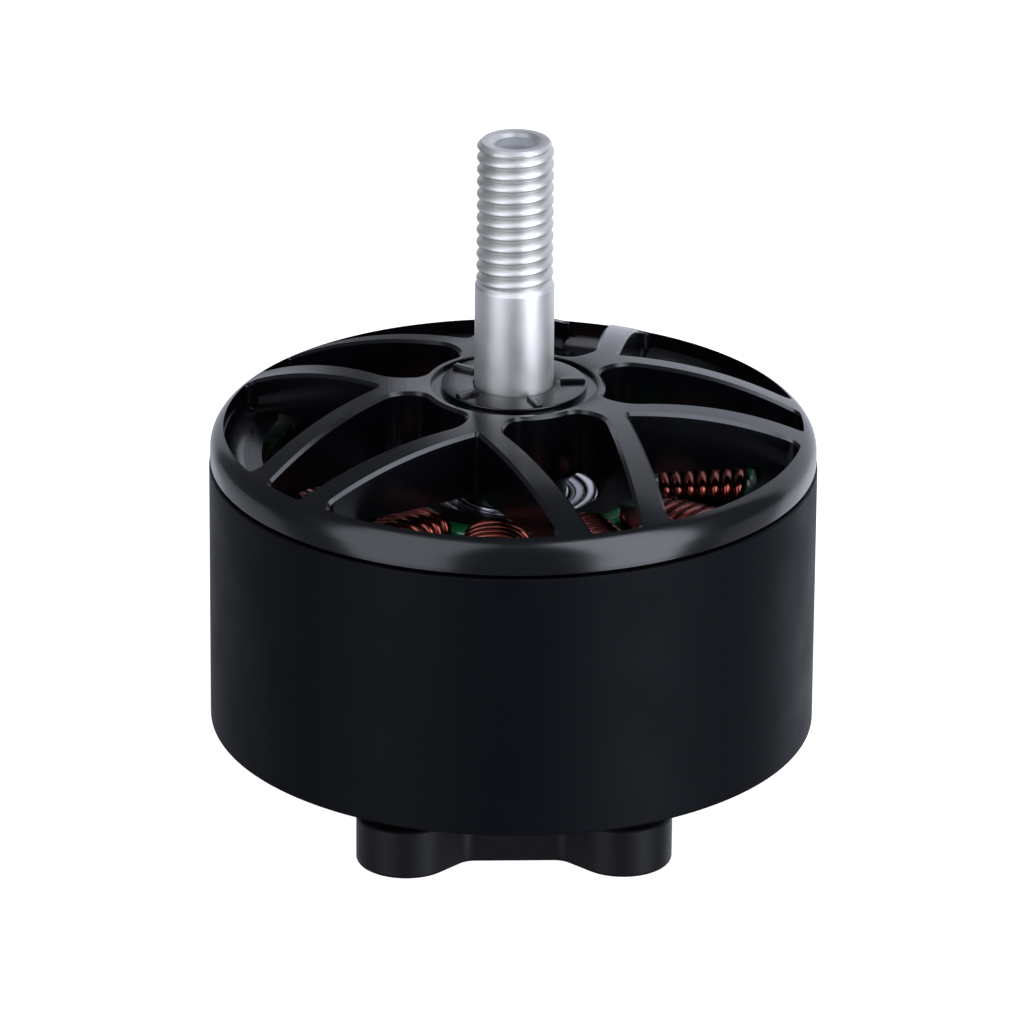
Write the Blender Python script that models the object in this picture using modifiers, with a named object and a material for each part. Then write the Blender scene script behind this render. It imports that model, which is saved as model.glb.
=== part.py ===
"""Brushless outrunner motor, 31 mm x 15 mm stator, hollow M5 shaft.

The origin is the centre of the base's mounting face and +Z runs up the shaft.
The base, stator and outer races stand still. The bell (cap, flux ring and
magnets), the shaft and the inner races turn about +Z. Each bearing's ball
cage turns between its races at its own slower rate.
"""
import math

import bmesh
import bpy
from mathutils import Matrix

MM = 0.001
TAU = 2.0 * math.pi

# ---- driving dimensions, in millimetres -------------------------------------
FIT = 0.05                      # gap between pieces that are pressed, glued or seated together

BELL_RADIUS = 19.2              # outside of the flux ring
BELL_SIDES = 60                 # facets round the bell
RING_BOTTOM = 7.2
SEAM = 24.5                     # where the cap meets the flux ring
RING_WALL = 1.6
EDGE_CHAMFER = 0.15

CAP_EDGE_RADIUS = 19.13
RIM_RADIUS = 18.3               # outer edge of the cap's windows, where its arc ends
DOME_RADIUS = 24.6              # the cap's top is an arc that starts level with the hub's face
DOME_START = 6.9
HUB_RISE = 5.22                 # hub face above the seam
UNDERSIDE_RISE = 1.0            # flat underside of the hub and spokes, above the seam
HUB_RADIUS = 5.77
BOSS_RADIUS = 4.6
LEDGE_RADIUS = 15.88            # inner edge of the lip above the magnets
LEDGE_RISE = 0.5
LIP_FILLET = 1.3                # from the lip up to the windows' outer walls
SPIGOT_DEPTH = 0.55
PARTING_HEIGHT = 0.2            # groove between the cap and the ring
PARTING_DEPTH = 0.4
BOSS_HEIGHT = 0.9               # below the flat underside
BOSS_FOOT_RADIUS = 3.4          # the boss narrows to the inner race
BOSS_FOOT_HEIGHT = 0.9
GUARD_OVERRUN = 1.0             # how far the lip's guard runs past the lip

SPOKE_NODES = 5
NODE_ANGLE = -107.4             # degrees, direction of the first node
NODE_FORK = 7.41                # where a node's arm forks into two bars
ARM_WIDTH = 2.67
BAR_ANGLE = 44.5                # degrees between a bar and its node's radius
BAR_TAPER = 1.1                 # degrees, each edge
BAR_WIDTH = 1.48                # at the fork
CROTCH_FILLET = 0.25
RIM_FILLET = 0.67
HUB_FILLET = 1.2
ARM_FILLET = 2.0

SEAT_RECESS_RADIUS = 5.27       # propeller seat: a disc with ribs, in a shallow recess
SEAT_RECESS_DEPTH = 0.25
SEAT_DISC_RADIUS = 4.6
SEAT_DISC_RISE = 0.1
RIB_INNER = 2.9
RIB_LENGTH = 1.6
RIB_WIDTH = 0.5
RIB_HEIGHT = 0.25

SHAFT_RADIUS = 2.5
SHAFT_BORE_RADIUS = 1.33
SHAFT_BOTTOM = 0.6
SHAFT_TOP = 46.0
THREAD_START = 36.5
THREAD_RADIUS = 2.4
THREAD_CHAMFER = 0.3
THREAD_RUN_OUT = 0.1
FOOT_CHAMFER = 0.2
BORE_CHAMFER = 0.25
SHAFT_SIDES = 24

MAGNETS = 14
MAGNET_INNER = 15.75
MAGNET_OUTER = 17.5
MAGNET_SPAN = 22.6              # degrees
MAGNET_BOTTOM = 7.8
MAGNET_TOP = 23.8

TEETH = 12
TOOTH_PHASE = -97.0             # degrees, direction of the first tooth
STACK_BOTTOM = 8.3
STACK_TOP = 23.3
STATOR_RADIUS = 15.5
STATOR_BORE = 8.0
YOKE_RADIUS = 9.5
TOOTH_WIDTH = 2.9
SHOE_HALF_ANGLE = 12.6          # degrees
SHOE_INNER = 14.75
SHOE_EDGE = 0.5
STATOR_SIDES = 36

COIL_INNER = 9.55
COIL_OUTER = 14.65
COIL_HALF_INNER = 2.44          # half width at the yoke end, limited by the next coil
COIL_HALF_OUTER = 3.55
COIL_RISE_INNER = 1.25          # above and below the stack
COIL_RISE_OUTER = 1.65
COIL_CORE_GAP = 0.08
COIL_ROUND = 0.7

BEARING_RADIUS = 5.5
BEARING_WIDTH = 5.0
BEARING_SIDES = 24
OUTER_RACE_INNER = 4.62
OUTER_GROOVE = 5.05
INNER_RACE_OUTER = 3.55
INNER_GROOVE = 3.12
GROOVE_HALF = 0.95
GROOVE_FLOOR_HALF = 0.52
BALL_RADIUS = 0.9
BALL_PITCH = 4.085
BALLS = 8
BALL_PHASE = 13.5               # degrees, direction of the first ball
CAGE_HALF_WIDTH = 0.32
CAGE_HALF_HEIGHT = 0.35
SHIELD_INNER = 3.66
SHIELD_THICKNESS = 0.15
SHIELD_INSET = 0.12
UPPER_BEARING_TOP = 22.5
LOWER_BEARING_TOP = 6.7

LUG_OFFSET = 6.87               # each lug's round end, along X and Y
LUG_RADIUS = 3.15
LUG_HEIGHT = 3.3
WAIST = 7.45                    # half width across the flats between the lugs
WAIST_FILLET = 1.2
HOLE_OFFSET = 6.72              # M3 holes on a 19 mm circle
HOLE_RADIUS = 1.25
HOLE_DEPTH = 4.2
BODY_OVERLAP = 0.2              # how far the turned body is sunk into the cross
PLATE_RADIUS = 12.8
PLATE_BOTTOM = 4.6
PLATE_TOP = 6.1
BASE_BOSS_RADIUS = 9.6
SHOULDER_RADIUS = 8.8
TUBE_TOP = 23.0
TUBE_BORE = 4.8
TUBE_CHAMFER = 0.3              # round the mouth of the upper bearing's pocket
LEAD_EXIT_WIDTH = 8.0
LEAD_EXIT_DEPTH = 2.2

CLIP_RADIUS = 3.5
CLIP_GROOVE_RADIUS = 2.1
CLIP_BOTTOM = 0.95
CLIP_THICKNESS = 0.3
CLIP_OPENING = 2.6
WASHER_RADIUS = 3.45
WASHER_THICKNESS = 0.3

CLEAR = 5.0                     # how far a cutter runs past what it cuts
WELD = 0.001                    # points closer than this are one


# ---- scene ------------------------------------------------------------------
def clear_scene():
    for old in list(bpy.data.objects):
        bpy.data.objects.remove(old, do_unlink=True)


def make_collection(name):
    collection = bpy.data.collections.new(name)
    bpy.context.scene.collection.children.link(collection)
    return collection


def make_material(name, color, roughness, metallic):
    material = bpy.data.materials.new(name)
    material.use_nodes = True
    material.diffuse_color = (*color, 1.0)
    shader = material.node_tree.nodes["Principled BSDF"]
    shader.inputs["Base Color"].default_value = (*color, 1.0)
    shader.inputs["Roughness"].default_value = roughness
    shader.inputs["Metallic"].default_value = metallic
    return material


def add_object(name, mesh, material, collection):
    obj = bpy.data.objects.new(name, mesh)
    collection.objects.link(obj)
    if material:
        mesh.materials.append(material)
    return obj


def as_cutter(obj):
    """Show an object as wire only, so that it stays out of the model."""
    obj.hide_render = True
    obj.display_type = 'WIRE'
    return obj


# ---- shapes -----------------------------------------------------------------
def polar(radius, degrees, z=0.0):
    angle = math.radians(degrees)
    return (radius * math.cos(angle), radius * math.sin(angle), z)


def arc(centre, radius, start, end, steps):
    """Points of an arc in a plane, from start to end degrees, both ends included."""
    points = []
    for step in range(steps + 1):
        angle = math.radians(start + (end - start) * step / steps)
        points.append((centre[0] + radius * math.cos(angle), centre[1] + radius * math.sin(angle)))
    return points


def turned(name, profile, sides, material, collection):
    """Turn a profile of (radius, height) points, outer side first, top to bottom.

    A profile that starts and ends on the axis stays open there.
    """
    count = len(profile)
    links = [(i, i + 1) for i in range(count - 1)]
    if profile[0][0] > 0.0:
        links.append((count - 1, 0))
    mesh = bpy.data.meshes.new(name)
    mesh.from_pydata([(r * MM, 0.0, z * MM) for r, z in profile], links, [])
    obj = add_object(name, mesh, material, collection)
    screw = obj.modifiers.new("turn", 'SCREW')
    screw.axis = 'Z'
    screw.angle = TAU
    screw.steps = sides
    screw.render_steps = sides
    screw.use_merge_vertices = True
    screw.merge_threshold = WELD * MM
    return freeze(obj)


def freeze(obj, weld=False):
    """Replace an object with the mesh that its modifiers or curve make, shaded by angle."""
    graph = bpy.context.evaluated_depsgraph_get()
    mesh = bpy.data.meshes.new_from_object(obj.evaluated_get(graph), depsgraph=graph)
    if weld:
        work = bmesh.new()
        work.from_mesh(mesh)
        bmesh.ops.remove_doubles(work, verts=work.verts, dist=WELD * MM)
        work.to_mesh(mesh)
        work.free()
    name = obj.name
    collection = obj.users_collection[0]
    matrix = obj.matrix_world.copy()
    bpy.data.objects.remove(obj, do_unlink=True)
    mesh.shade_smooth()
    mesh.set_sharp_from_angle(angle=math.radians(30))
    fresh = bpy.data.objects.new(name, mesh)
    fresh.matrix_world = matrix
    collection.objects.link(fresh)
    return fresh


def prism(name, outlines, bottom, top, material, collection):
    """Extrude flat closed outlines; an outline inside another is a hole."""
    curve = bpy.data.curves.new(name, 'CURVE')
    curve.dimensions = '2D'
    curve.fill_mode = 'BOTH'
    curve.extrude = (top - bottom) / 2 * MM
    for outline in outlines:
        spline = curve.splines.new('POLY')
        spline.points.add(len(outline) - 1)
        for point, (x, y) in zip(spline.points, outline):
            point.co = (x * MM, y * MM, 0.0, 1.0)
        spline.use_cyclic_u = True
    obj = add_object(name, curve, material, collection)
    obj.location.z = (top + bottom) / 2 * MM
    bpy.context.view_layer.update()
    return freeze(obj, weld=True)


def box(name, size, centre, material, collection):
    bpy.ops.mesh.primitive_cube_add(size=1.0)
    obj = bpy.context.object
    obj.name = name
    obj.data.transform(Matrix.Diagonal([side * MM for side in size]).to_4x4())
    obj.location = [value * MM for value in centre]
    for holder in list(obj.users_collection):
        holder.objects.unlink(obj)
    collection.objects.link(obj)
    if material:
        obj.data.materials.append(material)
    return obj


def combine(obj, tool, operation):
    """Cut or join one object with another, which stays as a wire."""
    modifier = obj.modifiers.new(operation.lower(), 'BOOLEAN')
    modifier.operation = operation
    modifier.solver = 'EXACT'
    modifier.object = as_cutter(tool)
    bpy.context.view_layer.update()
    return freeze(obj)


def joined(name, objects, collection):
    """One mesh object that holds several separate closed shapes."""
    bpy.context.view_layer.update()
    work = bmesh.new()
    for obj in objects:
        mesh = obj.data.copy()
        mesh.transform(obj.matrix_world)
        work.from_mesh(mesh)
        bpy.data.meshes.remove(mesh)
        bpy.data.objects.remove(obj, do_unlink=True)
    mesh = bpy.data.meshes.new(name)
    work.to_mesh(mesh)
    work.free()
    return add_object(name, mesh, None, collection)


# ---- outlines with filleted corners -----------------------------------------
class Line:
    """A straight edge through a point; the inside of the outline is to its left."""

    def __init__(self, point, degrees):
        angle = math.radians(degrees)
        self.along = (math.cos(angle), math.sin(angle))
        self.normal = (-self.along[1], self.along[0])
        self.offset = self.normal[0] * point[0] + self.normal[1] * point[1]

    def foot(self, point, radius):
        return (point[0] - radius * self.normal[0], point[1] - radius * self.normal[1])


class Rim:
    """A round edge about the axis; the outline lies inside it, or outside for a hub."""

    def __init__(self, radius, outline_inside):
        self.radius = radius
        self.side = -1.0 if outline_inside else 1.0

    def foot(self, point, radius):
        length = math.hypot(*point)
        return (point[0] * self.radius / length, point[1] * self.radius / length)


def fillet_centre(edge_a, edge_b, radius):
    """Centre of the fillet that touches two edges from inside the outline."""
    if isinstance(edge_a, Rim):
        edge_a, edge_b = edge_b, edge_a
    reach_a = edge_a.offset + radius
    if isinstance(edge_b, Rim):
        distance = edge_b.radius + edge_b.side * radius
        slide = math.sqrt(distance ** 2 - reach_a ** 2)
        options = []
        for way in (slide, -slide):
            options.append((edge_a.normal[0] * reach_a + edge_a.along[0] * way,
                            edge_a.normal[1] * reach_a + edge_a.along[1] * way))
        return max(options, key=lambda point: point[0])
    reach_b = edge_b.offset + radius
    cross = edge_a.normal[0] * edge_b.normal[1] - edge_a.normal[1] * edge_b.normal[0]
    return ((reach_a * edge_b.normal[1] - reach_b * edge_a.normal[1]) / cross,
            (edge_a.normal[0] * reach_b - edge_b.normal[0] * reach_a) / cross)


def fillet(edge_a, edge_b, radius, steps):
    """Points of the fillet arc from one edge to the next."""
    centre = fillet_centre(edge_a, edge_b, radius)
    angles = []
    for edge in (edge_a, edge_b):
        foot = edge.foot(centre, radius)
        angles.append(math.atan2(foot[1] - centre[1], foot[0] - centre[0]))
    turn = (angles[1] - angles[0] + math.pi) % TAU - math.pi
    return arc(centre, radius, math.degrees(angles[0]), math.degrees(angles[0] + turn), steps)


def rim_points(radius, start, end, steps):
    """Points on a round edge strictly between two points, the short way."""
    first = math.degrees(math.atan2(start[1], start[0]))
    last = math.degrees(math.atan2(end[1], end[0]))
    return arc((0.0, 0.0), radius, first, last, steps)[1:-1]


def turned_about(points, degrees):
    angle = math.radians(degrees)
    cosine, sine = math.cos(angle), math.sin(angle)
    return [(x * cosine - y * sine, x * sine + y * cosine) for x, y in points]


def mirrored(points):
    """The same points reflected in the X axis, in reverse order."""
    return [(x, -y) for x, y in reversed(points)]


# ---- the bell ---------------------------------------------------------------
def cap_profile():
    """Closed section of the cap before its windows are cut."""
    face = SEAM + HUB_RISE
    centre_z = face - DOME_RADIUS
    tangent = math.degrees(math.acos((RIM_RADIUS - DOME_START) / DOME_RADIUS))
    lean = math.cos(math.radians(tangent))
    shoulder = (CAP_EDGE_RADIUS - DOME_START - DOME_RADIUS * lean) / (1.0 - lean)
    shoulder_z = centre_z + (DOME_RADIUS - shoulder) * math.sin(math.radians(tangent))
    inner = SHAFT_RADIUS + FIT
    seat = face - SEAT_RECESS_DEPTH
    disc = face + SEAT_DISC_RISE
    race_top = UPPER_BEARING_TOP + FIT
    profile = [(inner, disc), (SEAT_DISC_RADIUS, disc), (SEAT_DISC_RADIUS, seat),
               (SEAT_RECESS_RADIUS, seat), (SEAT_RECESS_RADIUS, face)]
    profile += arc((DOME_START, centre_z), DOME_RADIUS, 90.0, tangent, 5)
    profile += arc((CAP_EDGE_RADIUS - shoulder, shoulder_z), shoulder, tangent, 0.0, 3)[1:]
    spigot = BELL_RADIUS - RING_WALL - FIT
    groove = CAP_EDGE_RADIUS - PARTING_DEPTH
    profile += [(CAP_EDGE_RADIUS, SEAM + PARTING_HEIGHT), (groove, SEAM + PARTING_HEIGHT),
                (groove, SEAM + FIT), (spigot, SEAM + FIT),
                (spigot, SEAM - SPIGOT_DEPTH), (LEDGE_RADIUS, SEAM - SPIGOT_DEPTH)]
    underside = SEAM + UNDERSIDE_RISE
    profile += [(LEDGE_RADIUS, underside), (BOSS_RADIUS, underside), (BOSS_RADIUS, underside - BOSS_HEIGHT),
                (BOSS_FOOT_RADIUS, race_top + BOSS_FOOT_HEIGHT), (BOSS_FOOT_RADIUS, race_top),
                (inner, race_top)]
    return profile


def bar_edge(side):
    """Edge of a node's upper bar: side +1 faces the node's own V, -1 the hub window."""
    angle = math.radians(BAR_ANGLE)
    shift = side * BAR_WIDTH / 2
    point = (NODE_FORK + shift * math.sin(angle), -shift * math.cos(angle))
    return point, BAR_ANGLE - side * BAR_TAPER


def v_window(steps):
    """Window between a node's two bars, for a node on +X."""
    point, angle = bar_edge(1)
    upper = Line(point, angle + 180.0)
    lower = Line((point[0], -point[1]), -angle)
    rim = Rim(RIM_RADIUS, True)
    crotch = fillet(upper, lower, CROTCH_FILLET, steps)
    corner = fillet(lower, rim, RIM_FILLET, steps)
    outer = rim_points(RIM_RADIUS, corner[-1], mirrored(corner)[0], 3 * steps)
    return crotch + corner + outer + mirrored(corner)


def hub_window(steps):
    """Window between two nodes, for nodes half a pitch either side of +X."""
    half_pitch = 180.0 / SPOKE_NODES
    point, angle = bar_edge(-1)
    bar = Line(turned_about([point], -half_pitch)[0], angle - half_pitch)
    arm = Line(turned_about([(HUB_RADIUS, ARM_WIDTH / 2)], -half_pitch)[0], -half_pitch)
    hub = Rim(HUB_RADIUS, False)
    rim = Rim(RIM_RADIUS, True)
    lower = fillet(hub, arm, HUB_FILLET, steps)
    lower += fillet(arm, bar, ARM_FILLET, steps)
    lower += fillet(bar, rim, RIM_FILLET, steps)
    upper = mirrored(lower)
    outer = rim_points(RIM_RADIUS, lower[-1], upper[0], 2 * steps)
    inner = rim_points(HUB_RADIUS, upper[-1], lower[0], 2 * steps)
    return lower + outer + upper + inner


def lip_profile():
    """Section of the space that the windows spare, so that they leave a filleted lip."""
    foot = SEAM + LEDGE_RISE
    curve = arc((RIM_RADIUS - LIP_FILLET, foot + LIP_FILLET), LIP_FILLET, 270.0, 345.0, 5)
    inside = LEDGE_RADIUS - GUARD_OVERRUN
    outside = RIM_RADIUS + GUARD_OVERRUN
    floor = SEAM - 2 * CLEAR
    return [(outside, curve[-1][1]), (outside, floor), (inside, floor), (inside, foot)] + curve


def make_cap(material, parts, cutters):
    cap = turned("bell_cap", cap_profile(), BELL_SIDES, material, parts)
    windows = []
    pitch = 360.0 / SPOKE_NODES
    for node in range(SPOKE_NODES):
        angle = NODE_ANGLE + pitch * node
        windows.append(turned_about(v_window(2), angle))
        windows.append(turned_about(hub_window(2), angle + pitch / 2))
    window_cutter = prism("window_cutter", windows, SEAM - CLEAR, SEAM + HUB_RISE + CLEAR, None, cutters)
    keep_lip = turned("lip_guard", lip_profile(), BELL_SIDES, None, cutters)
    window_cutter = combine(window_cutter, keep_lip, 'DIFFERENCE')
    cap = combine(cap, window_cutter, 'DIFFERENCE')
    for node in range(SPOKE_NODES):
        middle = NODE_ANGLE + pitch * (node + 0.5)
        place = polar(RIB_INNER + RIB_LENGTH / 2, middle, SEAM + HUB_RISE + SEAT_DISC_RISE)
        rib = box(f"rib_{node}", (RIB_LENGTH, RIB_WIDTH, 2 * RIB_HEIGHT), place, None, cutters)
        rib.rotation_euler.z = math.radians(middle)
        cap = combine(cap, rib, 'UNION')
    return cap


def make_flux_ring(material, parts):
    inner = BELL_RADIUS - RING_WALL
    profile = [(BELL_RADIUS - EDGE_CHAMFER, SEAM), (BELL_RADIUS, SEAM - EDGE_CHAMFER),
               (BELL_RADIUS, RING_BOTTOM + EDGE_CHAMFER), (BELL_RADIUS - EDGE_CHAMFER, RING_BOTTOM),
               (inner, RING_BOTTOM), (inner, SEAM)]
    return turned("flux_ring", profile, BELL_SIDES, material, parts)


def make_magnets(material, parts):
    for index in range(MAGNETS):
        start = 360.0 / MAGNETS * index
        outline = arc((0.0, 0.0), MAGNET_OUTER, start, start + MAGNET_SPAN, 5)
        outline += arc((0.0, 0.0), MAGNET_INNER, start + MAGNET_SPAN, start, 5)
        prism(f"magnet_{index + 1:02d}", [outline], MAGNET_BOTTOM, MAGNET_TOP, material, parts)


def make_shaft(material, parts):
    groove_top = CLIP_BOTTOM + CLIP_THICKNESS + FIT
    groove_bottom = CLIP_BOTTOM - FIT
    profile = [(THREAD_RADIUS - THREAD_CHAMFER, SHAFT_TOP), (THREAD_RADIUS, SHAFT_TOP - THREAD_CHAMFER),
               (THREAD_RADIUS, THREAD_START), (SHAFT_RADIUS, THREAD_START - THREAD_RUN_OUT),
               (SHAFT_RADIUS, groove_top), (CLIP_GROOVE_RADIUS, groove_top),
               (CLIP_GROOVE_RADIUS, groove_bottom), (SHAFT_RADIUS, groove_bottom),
               (SHAFT_RADIUS, SHAFT_BOTTOM + FOOT_CHAMFER), (SHAFT_RADIUS - FOOT_CHAMFER, SHAFT_BOTTOM),
               (SHAFT_BORE_RADIUS, SHAFT_BOTTOM), (SHAFT_BORE_RADIUS, SHAFT_TOP - BORE_CHAMFER),
               (SHAFT_BORE_RADIUS + BORE_CHAMFER, SHAFT_TOP)]
    return turned("shaft", profile, SHAFT_SIDES, material, parts)


def make_retainers(clip_material, washer_material, parts, cutters):
    clip_top = CLIP_BOTTOM + CLIP_THICKNESS
    inner = CLIP_GROOVE_RADIUS + FIT
    section = [(CLIP_RADIUS, clip_top), (CLIP_RADIUS, CLIP_BOTTOM), (inner, CLIP_BOTTOM), (inner, clip_top)]
    clip = turned("retaining_clip", section, SHAFT_SIDES, clip_material, parts)
    opening = box("clip_opening", (CLIP_OPENING, 2 * CLIP_RADIUS, 4 * CLIP_THICKNESS),
                  (0.0, -CLIP_RADIUS, CLIP_BOTTOM), None, cutters)
    combine(clip, opening, 'DIFFERENCE')
    washer_bottom = clip_top + FIT
    washer_top = washer_bottom + WASHER_THICKNESS
    inner = SHAFT_RADIUS + FIT
    section = [(WASHER_RADIUS, washer_top), (WASHER_RADIUS, washer_bottom),
               (inner, washer_bottom), (inner, washer_top)]
    turned("shim_washer", section, SHAFT_SIDES, washer_material, parts)


# ---- the bearings -----------------------------------------------------------
def make_bearing(prefix, top, materials, parts, cutters):
    bottom = top - BEARING_WIDTH
    middle = (top + bottom) / 2
    steel, shield_steel, cage_steel = materials
    outer_race = [(BEARING_RADIUS, top), (BEARING_RADIUS, bottom), (OUTER_RACE_INNER, bottom),
                  (OUTER_RACE_INNER, middle - GROOVE_HALF), (OUTER_GROOVE, middle - GROOVE_FLOOR_HALF),
                  (OUTER_GROOVE, middle + GROOVE_FLOOR_HALF), (OUTER_RACE_INNER, middle + GROOVE_HALF),
                  (OUTER_RACE_INNER, top)]
    turned(prefix + "_outer_race", outer_race, BEARING_SIDES, steel, parts)
    inner = SHAFT_RADIUS + FIT
    inner_race = [(INNER_RACE_OUTER, top), (INNER_RACE_OUTER, middle + GROOVE_HALF),
                  (INNER_GROOVE, middle + GROOVE_FLOOR_HALF), (INNER_GROOVE, middle - GROOVE_FLOOR_HALF),
                  (INNER_RACE_OUTER, middle - GROOVE_HALF), (INNER_RACE_OUTER, bottom),
                  (inner, bottom), (inner, top)]
    turned(prefix + "_inner_race", inner_race, BEARING_SIDES, steel, parts)
    outer = OUTER_RACE_INNER - FIT
    for side, high in (("top", top - SHIELD_INSET), ("bottom", bottom + SHIELD_INSET + SHIELD_THICKNESS)):
        low = high - SHIELD_THICKNESS
        turned(f"{prefix}_{side}_shield",
               [(outer, high), (outer, low), (SHIELD_INNER, low), (SHIELD_INNER, high)],
               BEARING_SIDES, shield_steel, parts)
    cage_outer = BALL_PITCH + CAGE_HALF_WIDTH
    cage_inner = BALL_PITCH - CAGE_HALF_WIDTH
    cage = turned(prefix + "_ball_cage",
                  [(cage_outer, middle + CAGE_HALF_HEIGHT), (cage_outer, middle - CAGE_HALF_HEIGHT),
                   (cage_inner, middle - CAGE_HALF_HEIGHT), (cage_inner, middle + CAGE_HALF_HEIGHT)],
                  BEARING_SIDES, cage_steel, parts)
    balls = []
    for index in range(BALLS):
        bpy.ops.mesh.primitive_uv_sphere_add(segments=8, ring_count=6, radius=BALL_RADIUS * MM)
        ball = bpy.context.object
        place = polar(BALL_PITCH, BALL_PHASE + 360.0 / BALLS * index, middle)
        ball.location = [value * MM for value in place]
        balls.append(ball)
    combine(cage, joined(prefix + "_balls", balls, cutters), 'UNION')


# ---- the stator -------------------------------------------------------------
def core_outline():
    """Twelve teeth with shoes, as one closed outline."""
    half = TOOTH_WIDTH / 2
    root = math.degrees(math.asin(half / YOKE_RADIUS))
    pitch = 360.0 / TEETH
    shoe_inner = polar(STATOR_RADIUS - SHOE_EDGE, SHOE_HALF_ANGLE)[:2]
    outline = []
    for tooth in range(TEETH):
        points = [polar(YOKE_RADIUS, -pitch / 2)[:2], polar(YOKE_RADIUS, -root)[:2],
                  (SHOE_INNER, -half), (shoe_inner[0], -shoe_inner[1])]
        points += arc((0.0, 0.0), STATOR_RADIUS, -SHOE_HALF_ANGLE, SHOE_HALF_ANGLE, 5)
        points += [shoe_inner, (SHOE_INNER, half), polar(YOKE_RADIUS, root)[:2]]
        outline += turned_about(points, TOOTH_PHASE + pitch * tooth)
    return outline


def make_core(material, parts):
    bore = arc((0.0, 0.0), STATOR_BORE, 0.0, 360.0, STATOR_SIDES)[:-1]
    return prism("stator_core", [core_outline(), bore], STACK_BOTTOM, STACK_TOP, material, parts)


def make_windings(material, parts, cutters):
    """A block round each tooth, wider and taller towards the shoe."""
    middle_z = (STACK_BOTTOM + STACK_TOP) / 2
    half_stack = (STACK_TOP - STACK_BOTTOM) / 2
    length = COIL_OUTER - COIL_INNER
    tooth_size = (2 * length, TOOTH_WIDTH + 2 * COIL_CORE_GAP, 2 * (half_stack + COIL_CORE_GAP))
    tooth = box("tooth_space", tooth_size, ((COIL_INNER + COIL_OUTER) / 2, 0.0, middle_z), None, cutters)
    coil = box("coil", (1.0, 1.0, 1.0), (0.0, 0.0, 0.0), material, cutters)
    for vertex in coil.data.vertices:
        outer = vertex.co.x > 0
        half_width = COIL_HALF_OUTER if outer else COIL_HALF_INNER
        half_height = half_stack + (COIL_RISE_OUTER if outer else COIL_RISE_INNER)
        vertex.co = ((COIL_OUTER if outer else COIL_INNER) * MM,
                     math.copysign(half_width, vertex.co.y) * MM,
                     (middle_z + math.copysign(half_height, vertex.co.z)) * MM)
    rounding = coil.modifiers.new("round", 'BEVEL')
    rounding.width = COIL_ROUND * MM
    rounding.segments = 2
    rounding.limit_method = 'NONE'
    bpy.context.view_layer.update()
    coil = combine(freeze(coil), tooth, 'DIFFERENCE')
    for tooth_index in range(TEETH):
        winding = bpy.data.objects.new(f"winding_{tooth_index + 1:02d}", coil.data)
        winding.rotation_euler.z = math.radians(TOOTH_PHASE + 360.0 / TEETH * tooth_index)
        parts.objects.link(winding)
    bpy.data.objects.remove(coil, do_unlink=True)


def base_outline():
    """Cross of four arms with round ends, and flat waists between them."""
    reach = WAIST + WAIST_FILLET
    centre = (reach, reach - math.sqrt(2.0) * (LUG_RADIUS + WAIST_FILLET))
    corner = arc(centre, WAIST_FILLET, 180.0, 135.0, 3)
    quarter = corner + arc((LUG_OFFSET, LUG_OFFSET), LUG_RADIUS, -45.0, 135.0, 8)
    quarter += [(y, x) for x, y in reversed(corner)]
    outline = []
    for turn in range(4):
        outline += turned_about(quarter, 90.0 * turn)
    return outline


def make_base(material, parts, cutters):
    base = prism("base", [base_outline()], 0.0, LUG_HEIGHT, material, parts)
    body = [(0.0, TUBE_TOP), (STATOR_BORE - FIT, TUBE_TOP), (STATOR_BORE - FIT, STACK_BOTTOM - FIT),
            (SHOULDER_RADIUS, STACK_BOTTOM - FIT), (SHOULDER_RADIUS, PLATE_TOP), (PLATE_RADIUS, PLATE_TOP),
            (PLATE_RADIUS, PLATE_BOTTOM), (BASE_BOSS_RADIUS, PLATE_BOTTOM),
            (BASE_BOSS_RADIUS, LUG_HEIGHT - BODY_OVERLAP), (0.0, LUG_HEIGHT - BODY_OVERLAP)]
    base = combine(base, turned("base_body", body, STATOR_SIDES, None, cutters), 'UNION')
    pocket = BEARING_RADIUS + FIT
    lower_lip = LOWER_BEARING_TOP + FIT
    upper_lip = UPPER_BEARING_TOP - BEARING_WIDTH - FIT
    mouth = pocket + TUBE_CHAMFER
    bore = [(0.0, TUBE_TOP + CLEAR), (mouth, TUBE_TOP + CLEAR), (mouth, TUBE_TOP),
            (pocket, UPPER_BEARING_TOP), (pocket, upper_lip), (TUBE_BORE, upper_lip), (TUBE_BORE, lower_lip),
            (pocket, lower_lip), (pocket, -CLEAR), (0.0, -CLEAR)]
    base = combine(base, turned("bearing_bore", bore, BEARING_SIDES, None, cutters), 'DIFFERENCE')
    holes = []
    for x in (-HOLE_OFFSET, HOLE_OFFSET):
        for y in (-HOLE_OFFSET, HOLE_OFFSET):
            bpy.ops.mesh.primitive_cylinder_add(
                vertices=16, radius=HOLE_RADIUS * MM, depth=2 * HOLE_DEPTH * MM)
            hole = bpy.context.object
            hole.location = (x * MM, y * MM, 0.0)
            holes.append(hole)
    base = combine(base, joined("screw_holes", holes, cutters), 'DIFFERENCE')
    exit_box = box("lead_exit", (LEAD_EXIT_WIDTH, 2 * LEAD_EXIT_DEPTH, CLEAR),
                   (0.0, PLATE_RADIUS, (PLATE_TOP + PLATE_BOTTOM) / 2), None, cutters)
    return combine(base, exit_box, 'DIFFERENCE')


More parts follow.
